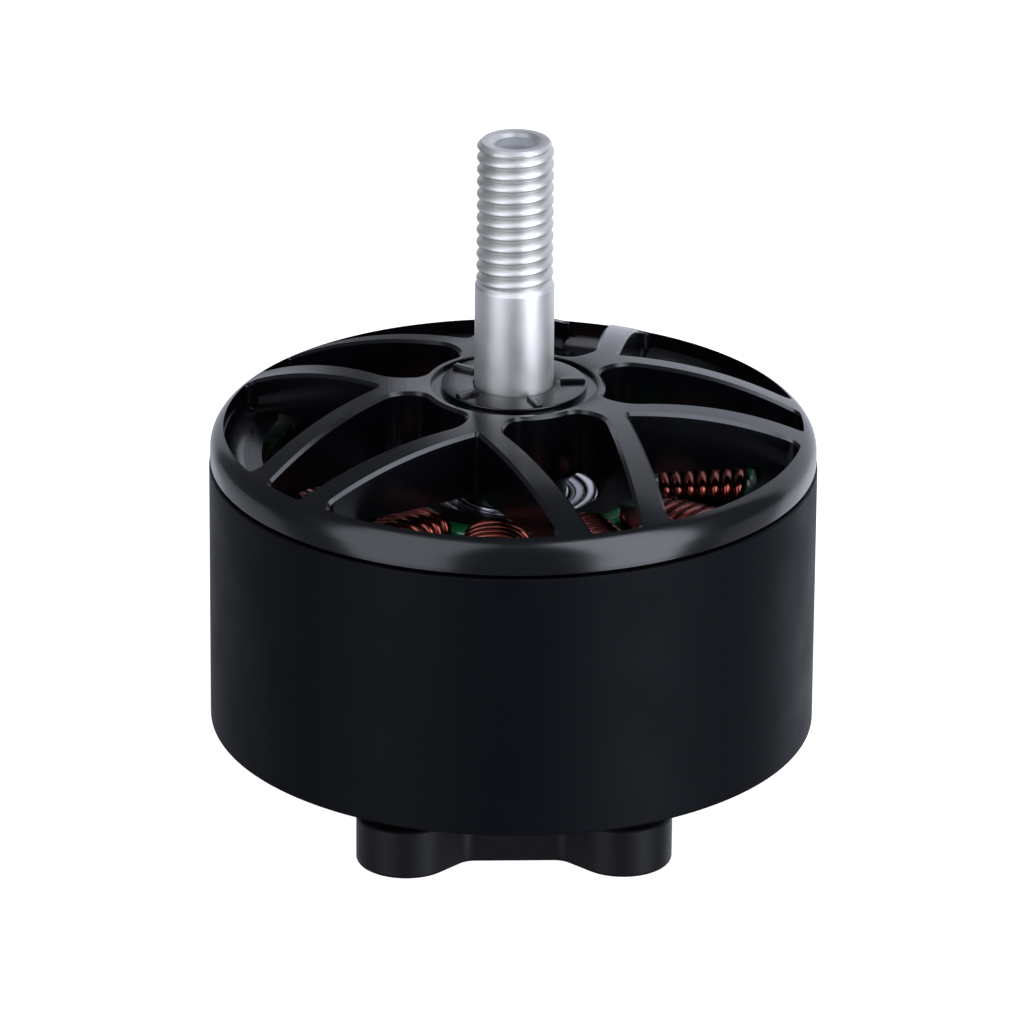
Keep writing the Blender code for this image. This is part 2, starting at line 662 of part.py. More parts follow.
def main():
    clear_scene()
    parts = make_collection("brushless_outrunner_motor")
    cutters = make_collection("cutters")
    anodised = make_material("black_anodised_aluminium", (0.030, 0.031, 0.034), 0.32, 0.9)
    base_black = make_material("black_anodised_base", (0.025, 0.025, 0.028), 0.38, 0.9)
    ring_black = make_material("black_coated_steel", (0.012, 0.012, 0.013), 0.5, 0.4)
    magnet_nickel = make_material("nickel_plated_magnet", (0.42, 0.41, 0.38), 0.35, 1.0)
    shaft_steel = make_material("polished_shaft_steel", (0.72, 0.73, 0.75), 0.25, 1.0)
    race_steel = make_material("bearing_race_steel", (0.62, 0.63, 0.65), 0.2, 1.0)
    shield_steel = make_material("bearing_shield_steel", (0.40, 0.41, 0.43), 0.3, 1.0)
    cage_steel = make_material("ball_cage_steel", (0.55, 0.54, 0.50), 0.3, 1.0)
    green = make_material("green_stator_coating", (0.02, 0.20, 0.08), 0.25, 0.0)
    copper = make_material("enamelled_copper_wire", (0.35, 0.07, 0.03), 0.25, 0.8)
    spring_steel = make_material("spring_steel", (0.18, 0.18, 0.19), 0.35, 1.0)

    make_base(base_black, parts, cutters)
    make_core(green, parts)
    make_windings(copper, parts, cutters)
    bearing_materials = (race_steel, shield_steel, cage_steel)
    make_bearing("upper_bearing", UPPER_BEARING_TOP, bearing_materials, parts, cutters)
    make_bearing("lower_bearing", LOWER_BEARING_TOP, bearing_materials, parts, cutters)
    make_cap(anodised, parts, cutters)
    make_flux_ring(ring_black, parts)
    make_magnets(magnet_nickel, parts)
    make_shaft(shaft_steel, parts)
    make_retainers(spring_steel, race_steel, parts, cutters)


main()
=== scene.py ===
"""Looks of a brushless outrunner motor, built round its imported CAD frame.

Sizes are in millimetres in the row frame: the origin is the centre of the
base's mounting face and +Z runs up the shaft. Each CAD node is replaced by a
finer piece of the same size, in the same place, on the same body.
"""
import math
import random

import bmesh
import bpy
from mathutils import Matrix, Vector


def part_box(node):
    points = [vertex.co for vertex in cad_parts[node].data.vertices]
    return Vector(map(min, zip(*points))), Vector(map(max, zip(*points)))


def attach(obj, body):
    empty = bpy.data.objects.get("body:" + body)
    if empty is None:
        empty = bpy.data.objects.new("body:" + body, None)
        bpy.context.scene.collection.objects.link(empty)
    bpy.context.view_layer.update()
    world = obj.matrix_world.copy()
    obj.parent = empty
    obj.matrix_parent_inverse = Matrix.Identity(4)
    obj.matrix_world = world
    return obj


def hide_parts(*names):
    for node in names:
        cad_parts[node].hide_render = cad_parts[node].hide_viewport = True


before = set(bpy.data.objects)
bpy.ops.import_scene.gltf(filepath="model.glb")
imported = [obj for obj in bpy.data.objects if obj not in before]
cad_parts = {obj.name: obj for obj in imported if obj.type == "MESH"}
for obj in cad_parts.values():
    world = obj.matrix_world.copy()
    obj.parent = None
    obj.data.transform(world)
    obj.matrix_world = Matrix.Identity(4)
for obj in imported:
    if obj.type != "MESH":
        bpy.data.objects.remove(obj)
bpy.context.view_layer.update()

MM = 0.001
TAU = 2.0 * math.pi


def reach(node):
    """(radius, bottom, top) of a round CAD node, in millimetres."""
    low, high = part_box(node)
    return high.x / MM, low.z / MM, high.z / MM


# ---- sizes ----
FIT = 0.05                      # gap between pieces that are pressed, glued or seated together
WELD = 0.0005                   # points closer than this are one
SHARP = 35.0                    # degrees; a steeper edge is creased
CLEAR = 5.0                     # how far a cutter runs past what it cuts
OVERRUN = 1.0                   # and where that is too far
ROUND_SIDES = 96

BELL_RADIUS, RING_BOTTOM, SEAM = reach("flux_ring")
RING_WALL = 1.6
RING_EDGE = 0.16
BELL_SIDES = 240

CAP_EDGE_RADIUS, CAP_BOTTOM = reach("bell_cap")[:2]
RIM_RADIUS = 18.3               # outer edge of the cap's windows, where its arc ends
DOME_RADIUS = 24.6              # the cap's top is an arc that starts level with the hub's face
DOME_START = 6.9
HUB_RISE = 5.22                 # hub face above the seam
UNDERSIDE_RISE = 1.0            # flat underside of the hub and spokes, above the seam
HUB_RADIUS = 5.77
BOSS_RADIUS = 4.6
BOSS_HEIGHT = 0.9               # below the flat underside
BOSS_FOOT_RADIUS = 3.4
BOSS_FOOT_HEIGHT = 0.9
LEDGE_RADIUS = 15.88            # inner edge of the lip above the magnets
LEDGE_RISE = 0.5
LIP_FILLET = 1.3                # from the lip up to the windows' outer walls
LIP_SWEEP = 75.0                # degrees of that fillet
LIP_STEPS = 12
PARTING_HEIGHT = 0.2            # groove between the cap and the ring
PARTING_DEPTH = 0.4
WINDOW_EDGE = 0.2               # chamfer round the windows' upper edges
SPOKE_NODES = 5
NODE_ANGLE = -107.4             # degrees, direction of the first node
NODE_FORK = 7.41
ARM_WIDTH = 2.67
BAR_ANGLE = 44.5
BAR_TAPER = 1.1
BAR_WIDTH = 1.48
CROTCH_FILLET = 0.25
RIM_FILLET = 0.67
HUB_FILLET = 1.2
ARM_FILLET = 2.0
SEAT_RECESS_RADIUS = 5.27
SEAT_RECESS_DEPTH = 0.25
SEAT_DISC_RADIUS = 4.6
SEAT_DISC_RISE = 0.1
SEAT_EDGE = 0.07
DOME_STEPS = 28
SHOULDER_STEPS = 12
WINDOW_STEPS = 10
WALL_STEP = 0.6                 # between points on the windows' straight sides
UNDERSIDE_FILLET = 0.2
BOSS_FILLET = 0.3
BOSS_FOOT_EDGE = 0.1
CAP_BORE_EDGE = 0.05
RIB_INNER = 2.9
RIB_LENGTH = 1.6
RIB_WIDTH = 0.5
RIB_HEIGHT = 0.25
RIB_EDGE = 0.07

SHAFT_RADIUS, SHAFT_BOTTOM, SHAFT_TOP = reach("shaft")
SHAFT_BORE_RADIUS = 1.33
BORE_CHAMFER = 0.25
THREAD_START = 36.5
THREAD_PITCH = 0.8
THREAD_CREST = 2.42
THREAD_ROOT = 2.04
THREAD_FADE = 0.45
THREAD_CHAMFER = 0.3
THREAD_ROWS = 12                # rows of points to a pitch
THREAD_ROUNDING = 0.9           # below 1 the crest is broader than the root
RELIEF_HEIGHT = 0.12            # of the plain part's rounded upper edge
RELIEF_MIDDLE = 0.07
RELIEF_DEPTH = 0.01
SHAFT_END_CHAMFER = 0.2
BORE_END_CHAMFER = 0.1
BORE_LIP = 0.05                 # the bore's mouth is rounded where it meets the shaft's end
BORE_LIP_MIDDLE = 0.04
BORE_LIP_RISE = 0.015
BORE_WALL = 0.02                # a face nearer to the bore than this has the bore's look
CLIP_GROOVE_RADIUS = 2.1
CLIP_MOUTH = 24.0               # degrees from -Y to the clip's ends, at its outside
CLIP_EAR = 48.0                 # and at its inside
CLIP_STEPS = 48
CLIP_INNER_STEPS = 36
CLIP_END_EDGE = 0.12
CLIP_EDGE = 0.06

MAGNETS = 14
MAGNET_INNER = 15.75
MAGNET_OUTER = 17.5
MAGNET_SPAN = 22.6              # degrees
MAGNET_EDGE = 0.2
MAGNET_STEPS = 16

TEETH = 12
TOOTH_PHASE = -97.0             # degrees, direction of the first tooth
STATOR_RADIUS = 15.5
STATOR_BORE = 8.0
YOKE_RADIUS = 9.5
TOOTH_WIDTH = 2.9
SHOE_HALF_ANGLE = 12.6
SHOE_INNER = 14.75
SHOE_EDGE = 0.5
COATING_EDGE = 0.22             # the coating rounds the stack's edges
TOOTH_FILLET = 0.25
SHOE_FILLET = 0.15
TIP_EDGE = 0.1
SHOE_STEPS = 14
YOKE_STEPS = 4
STATOR_BORE_STEPS = 120

WIRE_RADIUS = 0.37
WIRE_SIDES = 10
COIL_TURNS = 7
COIL_HALF = 1.83                # from the tooth's middle to the wire's
COIL_FIRST = 9.88               # first turn's place along the tooth, in the slot
COIL_STEP = 0.747
CROWN_FIRST = 9.55              # and over the end of the stack
CROWN_STEP = 0.81
CROWN_RISE = 0.85
CROWN_GAIN = 0.03               # each turn's crown is a little higher than the one inside it
FOOT_RISE = 1.02                # the end turns are flatter at the base's side
WIRE_JITTER = 0.03
WIRE_SEED = 7
FLANK_STEPS = 5
CROWN_STEPS = 12
CROWN_BULGE = 0.8               # below 1 a crown is fuller than half a sine
WIRE_SHARP = 60.0

BALL_RADIUS = 0.9
BALL_PITCH = 4.085
BALLS = 8
BALL_PHASE = 13.5
GROOVE_RADIUS = 0.95
OUTER_RACE_INNER = 4.62
INNER_RACE_OUTER = 3.55
SHIELD_INNER = 3.66
RACE_EDGE = 0.25
LAND_EDGE = 0.1
RACE_BORE_EDGE = 0.15
GROOVE_STEPS = 10
SHIELD_EDGE = 0.04
SHIELD_LIP_EDGE = 0.03
SHIELD_LIP = 0.25
SHIELD_STEP = 0.07
SHIELD_DISH = 0.05
RIBBON_HALF = 0.3
RIBBON_OUTSIDE = 0.16           # above the ball's surface
RIBBON_INSIDE = 0.04
RIBBON_PLAY = 0.03
RIBBON_STEPS = 24               # to each ball

LUG_OFFSET = 6.87
LUG_RADIUS = 3.15
LUG_HEIGHT = 3.3
LUG_EDGE = 0.3
WAIST = 7.45
WAIST_FILLET = 1.2
CORNER_STEPS = 8
LUG_STEPS = 36
HOLE_OFFSET = 6.72
HOLE_RADIUS = 1.25
HOLE_MAJOR = 1.5
HOLE_PITCH = 0.5
HOLE_DEPTH = 4.2
HOLE_MOUTH = 1.65               # radius of the chamfer at the hole's mouth
HOLE_SIDES = 32
HOLE_ROWS = 8
DRILL_TIP = 0.1                 # the hole ends in a blunt cone
DRILL_CONE = 0.6
PLATE_RADIUS = 12.8
PLATE_BOTTOM = 4.6
PLATE_TOP = 6.1
BASE_BOSS_RADIUS = 9.6
SHOULDER_RADIUS = 8.8
TUBE_BORE = 4.8
TUBE_CHAMFER = 0.3
POCKET_CHAMFER = 0.25
PLATE_EDGE = 0.2
PLATE_FILLET = 0.3
SHOULDER_EDGE = 0.1
BASE_BOSS_FILLET = 0.4
BODY_OVERLAP = 0.2
LEAD_EXIT_WIDTH = 8.0
LEAD_EXIT_DEPTH = 2.2
LEAD_EXIT_CORNER = 0.8
LEAD_EXIT_EDGE = 0.1
LEAD_EXIT_STEPS = 6

CAMERA_AZIMUTH = -92.0          # degrees
CAMERA_ELEVATION = 22.7
CAMERA_ROLL = 0.446
CAMERA_DISTANCE = 544.3
CAMERA_LENS = 302.3
CAMERA_SHIFT = -0.056           # the view's centre, beside the axis
CAMERA_HEIGHT = 20.96           # and above the floor

FLOOR_SIZE = 4000.0
LIGHT_DISTANCE = 0.9            # metres
LIGHT_TINT = (0.94, 0.99, 1.13)
ROOM_STRENGTH = 0.17
NOISE_LOW = 0.3                 # the range that a noise's values mostly fill
NOISE_HIGH = 0.7


# ---- plane shapes ----
def polar(radius, degrees, z=0.0):
    angle = math.radians(degrees)
    return (radius * math.cos(angle), radius * math.sin(angle), z)


def arc(radius, start, end, steps, centre=(0.0, 0.0)):
    """Points of an arc in a plane, from start to end degrees, both ends included."""
    points = []
    for step in range(steps + 1):
        angle = math.radians(start + (end - start) * step / steps)
        points.append((centre[0] + radius * math.cos(angle), centre[1] + radius * math.sin(angle)))
    return points


def turned_about(points, degrees):
    angle = math.radians(degrees)
    cosine, sine = math.cos(angle), math.sin(angle)
    return [(x * cosine - y * sine, x * sine + y * cosine) for x, y in points]


def mirrored(points):
    """The same points reflected in the X axis, in reverse order."""
    return [(x, -y) for x, y in reversed(points)]


def eased(corners, steps=4):
    """A closed outline from (x, y, rounding) corners."""
    points = []
    for index, (x, y, rounding) in enumerate(corners):
        if not rounding:
            points.append((x, y))
            continue
        corner = Vector((x, y))
        before = (Vector(corners[index - 1][:2]) - corner).normalized()
        after = (Vector(corners[(index + 1) % len(corners)][:2]) - corner).normalized()
        half = before.angle(after) / 2
        centre = corner + (before + after).normalized() * (rounding / math.sin(half))
        first = corner + before * (rounding / math.tan(half)) - centre
        last = corner + after * (rounding / math.tan(half)) - centre
        start = math.atan2(first.y, first.x)
        turn = (math.atan2(last.y, last.x) - start + math.pi) % TAU - math.pi
        points += arc(rounding, math.degrees(start), math.degrees(start + turn), steps, centre)
    return points


def inset(outline, distance):
    """An outline moved to its left, which is inwards if it runs anticlockwise."""
    shifted = []
    for index, (x, y) in enumerate(outline):
        before = Vector(outline[index - 1])
        after = Vector(outline[(index + 1) % len(outline)])
        here = Vector((x, y))
        one = (here - before).normalized().orthogonal()
        two = (after - here).normalized().orthogonal()
        shift = (one + two) / (1.0 + one.dot(two)) * distance
        shifted.append((x + shift.x, y + shift.y))
    return shifted


# ---- solid shapes ----
def add_rows(work, rows, loop=False, ends=()):
    """Add quads through closed rows of points, first row on top for an outward side.

    loop joins the last row to the first, and ends names the rows to fill with a face.
    """
    grid = [[work.verts.new([value * MM for value in point]) for point in row] for row in rows]
    pairs = list(zip(grid, grid[1:]))
    if loop:
        pairs.append((grid[-1], grid[0]))
    for upper, lower in pairs:
        for i in range(len(upper)):
            j = (i + 1) % len(upper)
            work.faces.new((upper[i], lower[i], lower[j], upper[j]))
    for end in ends:
        work.faces.new(grid[end])
    return grid


def as_mesh(work, name, weld=False):
    if weld:
        bmesh.ops.remove_doubles(work, verts=work.verts, dist=WELD * MM)
    bmesh.ops.recalc_face_normals(work, faces=work.faces)
    mesh = bpy.data.meshes.new(name)
    work.to_mesh(mesh)
    work.free()
    return mesh


def rows_mesh(name, rows, **how):
    work = bmesh.new()
    add_rows(work, rows, **how)
    return as_mesh(work, name)


def circle_rows(section, sides):
    """One circle of points for each (radius, height) of a section."""
    rows = []
    for radius, z in section:
        rows.append([polar(radius, 360.0 * i / sides, z) for i in range(sides)])
    return rows


def turned(name, section, sides):
    """Turn a closed section of (radius, height) points, outer side first, top to bottom."""
    return rows_mesh(name, circle_rows(section, sides), loop=True)


def plug(name, section, sides):
    """Turn an open section whose ends are closed with flat discs."""
    return rows_mesh(name, circle_rows(section, sides), ends=(0, -1))


def soft_prism(name, outlines, bottom, top, edge, steps=3):
    """Extrude outlines with rounded edges at both ends; a clockwise outline is a hole."""
    work = bmesh.new()
    rims = []
    for outline in outlines:
        rows = []
        for end, way in ((top, -1.0), (bottom, 1.0)):
            for step in range(steps + 1):
                angle = math.pi / 2 * step / steps
                inward = edge * (1.0 - math.sin(angle))
                z = end + way * edge * (1.0 - math.cos(angle))
                rows.append([(x, y, z) for x, y in inset(outline, inward)])
        half = steps + 1
        rows = rows[:half] + rows[half:][::-1]
        grid = add_rows(work, rows)
        rims.append((grid[0], grid[-1]))
    for side, normal in ((0, (0.0, 0.0, 1.0)), (1, (0.0, 0.0, -1.0))):
        edges = []
        for rim in rims:
            ring = rim[side]
            edges += [work.edges.get((ring[i - 1], ring[i])) for i in range(len(ring))]
        bmesh.ops.triangle_fill(work, use_beauty=True, edges=edges, normal=normal)
    return as_mesh(work, name)


def boolean(mesh, tool, operation):
    """Cut or join one mesh with another."""
    first = bpy.data.objects.new("first", mesh)
    second = bpy.data.objects.new("second", tool)
    for obj in (first, second):
        bpy.context.scene.collection.objects.link(obj)
    modifier = first.modifiers.new("combine", 'BOOLEAN')
    modifier.operation = operation
    modifier.solver = 'MANIFOLD'
    modifier.object = second
    graph = bpy.context.evaluated_depsgraph_get()
    result = bpy.data.meshes.new_from_object(first.evaluated_get(graph), depsgraph=graph)
    for obj in (first, second):
        bpy.data.objects.remove(obj, do_unlink=True)
    return result


def moved(mesh, degrees=0.0, place=(0.0, 0.0, 0.0)):
    mesh.transform(Matrix.Translation([value * MM for value in place])
                   @ Matrix.Rotation(math.radians(degrees), 4, 'Z'))
    return mesh


def merged(name, meshes):
    """One mesh that holds several separate closed shapes."""
    work = bmesh.new()
    for mesh in meshes:
        work.from_mesh(mesh)
    return as_mesh(work, name)


def piece(name, mesh, material, body, node, sharp=SHARP):
    """A finished object that rides on a body and stands for a CAD node."""
    mesh.materials.clear()
    mesh.materials.append(material)
    mesh.shade_smooth()
    mesh.set_sharp_from_angle(angle=math.radians(sharp))
    obj = bpy.data.objects.new(name, mesh)
    bpy.context.scene.collection.objects.link(obj)
    normals = obj.modifiers.new("normals", 'WEIGHTED_NORMAL')
    normals.keep_sharp = True
    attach(obj, body)
    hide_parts(node)
    return obj


# ---- materials ----
class Look:
    """A Principled material and the helpers that add its surface detail."""

    def __init__(self, name, color, roughness, metallic, **sockets):
        self.material = bpy.data.materials.new(name)
        self.material.use_nodes = True
        self.tree = self.material.node_tree
        self.shader = self.tree.nodes["Principled BSDF"]
        self.color = color
        values = {"Base Color": (*color, 1.0), "Roughness": roughness, "Metallic": metallic}
        values.update({key.replace("_", " "): value for key, value in sockets.items()})
        for key, value in values.items():
            self.shader.inputs[key].default_value = value

    def node(self, kind, **settings):
        """A new node with some of its properties and inputs set."""
        node = self.tree.nodes.new(kind)
        for key, value in settings.items():
            label = key.replace("_", " ")
            if label in node.inputs:
                node.inputs[label].default_value = value
            else:
                setattr(node, key, value)
        return node

    def link(self, source, target):
        self.tree.links.new(source, target)

    def place(self):
        """The point on the object, in millimetres."""
        where = self.node("ShaderNodeTexCoord")
        scaled = self.node("ShaderNodeVectorMath", operation='SCALE', Scale=1.0 / MM)
        self.link(where.outputs["Object"], scaled.inputs[0])
        return scaled.outputs[0]

    def round_place(self):
        """(distance from the axis, height, 0), which is the same all round a turned piece."""
        split = self.node("ShaderNodeSeparateXYZ")
        self.link(self.place(), split.inputs[0])
        flat = self.node("ShaderNodeCombineXYZ")
        self.link(split.outputs["X"], flat.inputs["X"])
        self.link(split.outputs["Y"], flat.inputs["Y"])
        radius = self.node("ShaderNodeVectorMath", operation='LENGTH')
        self.link(flat.outputs[0], radius.inputs[0])
        joined = self.node("ShaderNodeCombineXYZ")
        self.link(radius.outputs["Value"], joined.inputs["X"])
        self.link(split.outputs["Z"], joined.inputs["Y"])
        return joined.outputs[0]

    def noise(self, scale, detail=2.0, rough=0.5, lathe=False):
        """Noise of a scale per millimetre; with lathe it is the same all round the axis."""
        noise = self.node("ShaderNodeTexNoise", Scale=scale, Detail=detail, Roughness=rough)
        self.link(self.round_place() if lathe else self.place(), noise.inputs["Vector"])
        return noise.outputs["Fac"]

    def roughen(self, value, low, high):
        """Vary the roughness between two values."""
        ramp = self.node("ShaderNodeMapRange", From_Min=NOISE_LOW, From_Max=NOISE_HIGH,
                         To_Min=low, To_Max=high)
        self.link(value, ramp.inputs["Value"])
        self.link(ramp.outputs["Result"], self.shader.inputs["Roughness"])

    def tint(self, value, dark, light):
        """Vary the base colour between two shades of itself."""
        ramp = self.node("ShaderNodeValToRGB")
        for stop, shade in zip(ramp.color_ramp.elements, (dark, light)):
            stop.color = (*[part * shade for part in self.color], 1.0)
        ramp.color_ramp.elements[0].position = NOISE_LOW
        ramp.color_ramp.elements[1].position = NOISE_HIGH
        self.link(value, ramp.inputs["Fac"])
        self.link(ramp.outputs["Color"], self.shader.inputs["Base Color"])

    def bump(self, *layers):
        """Surface relief from (noise value, height in millimetres) layers."""
        normal = None
        for value, height in layers:
            bump = self.node("ShaderNodeBump", Strength=1.0, Distance=height * MM)
            self.link(value, bump.inputs["Height"])
            if normal:
                self.link(normal, bump.inputs["Normal"])
            normal = bump.outputs["Normal"]
        self.link(normal, self.shader.inputs["Normal"])


def cap_look():
    look = Look("black_anodised_cap", (0.0008, 0.0010, 0.0016), 0.18, 0.0, Specular_IOR_Level=0.5)
    lines = look.noise(9.0, 3.0, 0.65, lathe=True)
    cloud = look.noise(0.35, 3.0)
    grain = look.noise(14.0, 2.0)
    look.roughen(lines, 0.16, 0.25)
    look.tint(cloud, 0.8, 1.3)
    look.bump((lines, 0.003), (grain, 0.0008))
    return look.material


def base_look():
    look = Look("black_anodised_base", (0.003, 0.003, 0.004), 0.45, 0.0, Specular_IOR_Level=0.14)
    lines = look.noise(7.0, 3.0, 0.6, lathe=True)
    grain = look.noise(12.0, 2.0)
    look.roughen(lines, 0.4, 0.52)
    look.tint(grain, 0.8, 1.25)
    look.bump((lines, 0.003), (grain, 0.0015))
    return look.material


def ring_look():
    look = Look("matte_black_ring", (0.0005, 0.0009, 0.0019), 0.5, 0.0, Specular_IOR_Level=0.075)
    peel = look.noise(5.0, 4.0, 0.6)
    cloud = look.noise(0.25, 3.0)
    look.roughen(cloud, 0.48, 0.56)
    look.tint(peel, 0.85, 1.2)
    look.bump((peel, 0.004))
    return look.material


def magnet_look():
    look = Look("black_epoxy_magnet", (0.0015, 0.0015, 0.002), 0.12, 0.0, Specular_IOR_Level=0.5)
    grain = look.noise(3.0, 3.0, 0.55)
    look.roughen(grain, 0.08, 0.18)
    look.tint(grain, 0.8, 1.2)
    look.bump((grain, 0.006))
    return look.material


def shaft_look():
    look = Look("satin_shaft_steel", (0.60, 0.59, 0.57), 0.46, 0.95)
    lines = look.noise(12.0, 3.0, 0.6, lathe=True)
    smear = look.noise(0.5, 2.0)
    look.roughen(smear, 0.42, 0.5)
    look.tint(smear, 0.92, 1.06)
    look.bump((lines, 0.001))
    return look.material


def bore_look():
    look = Look("bored_shaft_steel", (0.62, 0.63, 0.65), 0.5, 0.6)
    lines = look.noise(8.0, 3.0, 0.6, lathe=True)
    look.roughen(lines, 0.4, 0.6)
    look.tint(lines, 0.85, 1.1)
    look.bump((lines, 0.004))
    return look.material


def race_look():
    look = Look("ground_race_steel", (0.42, 0.43, 0.45), 0.16, 1.0)
    lines = look.noise(20.0, 2.0, 0.6, lathe=True)
    look.roughen(lines, 0.12, 0.24)
    look.bump((lines, 0.001))
    return look.material


def shield_look():
    look = Look("pressed_shield_steel", (0.26, 0.27, 0.29), 0.24, 1.0)
    grain = look.noise(8.0, 3.0)
    look.roughen(grain, 0.2, 0.28)
    look.tint(grain, 0.95, 1.05)
    look.bump((grain, 0.0003))
    return look.material


def ball_look():
    look = Look("polished_ball_steel", (0.66, 0.66, 0.67), 0.1, 1.0)
    grain = look.noise(10.0, 3.0)
    look.roughen(grain, 0.07, 0.14)
    look.tint(grain, 0.95, 1.02)
    return look.material


def clip_look():
    look = Look("dark_spring_steel", (0.12, 0.12, 0.13), 0.35, 1.0)
    grain = look.noise(9.0, 3.0)
    look.roughen(grain, 0.28, 0.45)
    look.tint(grain, 0.8, 1.2)
    look.bump((grain, 0.002))
    return look.material


def coating_look():
    look = Look("green_stator_coating", (0.007, 0.13, 0.04), 0.2, 0.0,
                Specular_IOR_Level=0.5, Coat_Weight=0.6, Coat_Roughness=0.08)
    peel = look.noise(1.8, 3.0, 0.55)
    look.roughen(peel, 0.14, 0.26)
    look.tint(peel, 0.75, 1.25)
    look.bump((peel, 0.02))
    return look.material


def wire_look():
    look = Look("enamelled_copper_wire", (0.17, 0.027, 0.014), 0.24, 1.0,
                Coat_Weight=0.55, Coat_Roughness=0.03)
    patches = look.noise(0.9, 3.0, 0.6)
    look.roughen(patches, 0.14, 0.28)
    look.tint(patches, 0.6, 1.3)
    look.bump((look.noise(7.0, 2.0), 0.003))
    return look.material


def floor_look():
    look = Look("pale_floor", (0.3, 0.3, 0.3), 0.9, 0.0, Specular_IOR_Level=0.1,
                Emission_Color=(1.0, 1.0, 1.0, 1.0), Emission_Strength=1.0)
    grain = look.noise(0.02, 2.0)
    look.tint(grain, 0.995, 1.005)
    return look.material


# ---- the cap ----
HUB_FACE = SEAM + HUB_RISE
DOME_CENTRE = HUB_FACE - DOME_RADIUS


def dome_height(radius):
    """Height of the arc that the cap's top follows."""
    return DOME_CENTRE + math.sqrt(DOME_RADIUS ** 2 - (max(radius, DOME_START) - DOME_START) ** 2)


def cap_section():
    """Closed section of the cap before its windows are cut."""
    tangent = math.degrees(math.acos((RIM_RADIUS - DOME_START) / DOME_RADIUS))
    lean = math.cos(math.radians(tangent))
    shoulder = (CAP_EDGE_RADIUS - DOME_START - DOME_RADIUS * lean) / (1.0 - lean)
    shoulder_z = DOME_CENTRE + (DOME_RADIUS - shoulder) * math.sin(math.radians(tangent))
    inner = SHAFT_RADIUS + FIT
    seat = HUB_FACE - SEAT_RECESS_DEPTH
    disc = HUB_FACE + SEAT_DISC_RISE
    race_top = reach("upper_bearing_inner_race")[2] + FIT
    spigot = BELL_RADIUS - RING_WALL - FIT
    corners = [(inner, disc, SEAT_EDGE), (SEAT_DISC_RADIUS, disc, SEAT_EDGE), (SEAT_DISC_RADIUS, seat, 0.0),
               (SEAT_RECESS_RADIUS, seat, 0.0), (SEAT_RECESS_RADIUS, HUB_FACE, SEAT_EDGE)]
    top = arc(DOME_RADIUS, 90.0, tangent, DOME_STEPS, (DOME_START, DOME_CENTRE))
    top += arc(shoulder, tangent, 0.0, SHOULDER_STEPS, (CAP_EDGE_RADIUS - shoulder, shoulder_z))[1:]
    corners += [(*point, 0.0) for point in top]
    groove_top = SEAM + PARTING_HEIGHT
    corners += [(CAP_EDGE_RADIUS, groove_top, SEAT_EDGE), (CAP_EDGE_RADIUS - PARTING_DEPTH, groove_top, 0.0),
                (CAP_EDGE_RADIUS - PARTING_DEPTH, SEAM + FIT, 0.0), (spigot, SEAM + FIT, 0.0),
                (spigot, CAP_BOTTOM, SEAT_EDGE), (LEDGE_RADIUS, CAP_BOTTOM, SEAT_EDGE)]
    underside = SEAM + UNDERSIDE_RISE
    corners += [(LEDGE_RADIUS, underside, UNDERSIDE_FILLET), (BOSS_RADIUS, underside, BOSS_FILLET),
                (BOSS_RADIUS, underside - BOSS_HEIGHT, UNDERSIDE_FILLET),
                (BOSS_FOOT_RADIUS, race_top + BOSS_FOOT_HEIGHT, BOSS_FOOT_EDGE),
                (BOSS_FOOT_RADIUS, race_top, CAP_BORE_EDGE), (inner, race_top, CAP_BORE_EDGE)]
    return eased(corners)


class Line:
    """A straight edge through a point; the inside of the outline is to its left."""

    def __init__(self, point, degrees):
        angle = math.radians(degrees)
        self.along = (math.cos(angle), math.sin(angle))
        self.normal = (-self.along[1], self.along[0])
        self.offset = self.normal[0] * point[0] + self.normal[1] * point[1]

    def foot(self, point, radius):
        return (point[0] - radius * self.normal[0], point[1] - radius * self.normal[1])


class Rim:
    """A round edge about the axis; the outline lies inside it, or outside for a hub."""

    def __init__(self, radius, outline_inside):
        self.radius = radius
        self.side = -1.0 if outline_inside else 1.0

    def foot(self, point, radius):
        length = math.hypot(*point)
        return (point[0] * self.radius / length, point[1] * self.radius / length)


def fillet_centre(edge_a, edge_b, radius):
    """Centre of the fillet that touches two edges from inside the outline, on the +X side."""
    if isinstance(edge_a, Rim):
        edge_a, edge_b = edge_b, edge_a
    reach_a = edge_a.offset + radius
    if isinstance(edge_b, Rim):
        distance = edge_b.radius + edge_b.side * radius
        slide = math.copysign(math.sqrt(distance ** 2 - reach_a ** 2), edge_a.along[0])
        return (edge_a.normal[0] * reach_a + edge_a.along[0] * slide,
                edge_a.normal[1] * reach_a + edge_a.along[1] * slide)
    reach_b = edge_b.offset + radius
    cross = edge_a.normal[0] * edge_b.normal[1] - edge_a.normal[1] * edge_b.normal[0]
    return ((reach_a * edge_b.normal[1] - reach_b * edge_a.normal[1]) / cross,
            (edge_a.normal[0] * reach_b - edge_b.normal[0] * reach_a) / cross)


def fillet(edge_a, edge_b, radius):
    """Points of the fillet arc from one edge to the next."""
    centre = fillet_centre(edge_a, edge_b, radius)
    angles = []
    for edge in (edge_a, edge_b):
        foot = edge.foot(centre, radius)
        angles.append(math.atan2(foot[1] - centre[1], foot[0] - centre[0]))
    turn = (angles[1] - angles[0] + math.pi) % TAU - math.pi
    return arc(radius, math.degrees(angles[0]), math.degrees(angles[0] + turn), WINDOW_STEPS, centre)


def rim_points(radius, start, end, steps):
    """Points on a round edge strictly between two points, the short way."""
    first = math.degrees(math.atan2(start[1], start[0]))
    last = math.degrees(math.atan2(end[1], end[0]))
    return arc(radius, first, last, steps)[1:-1]


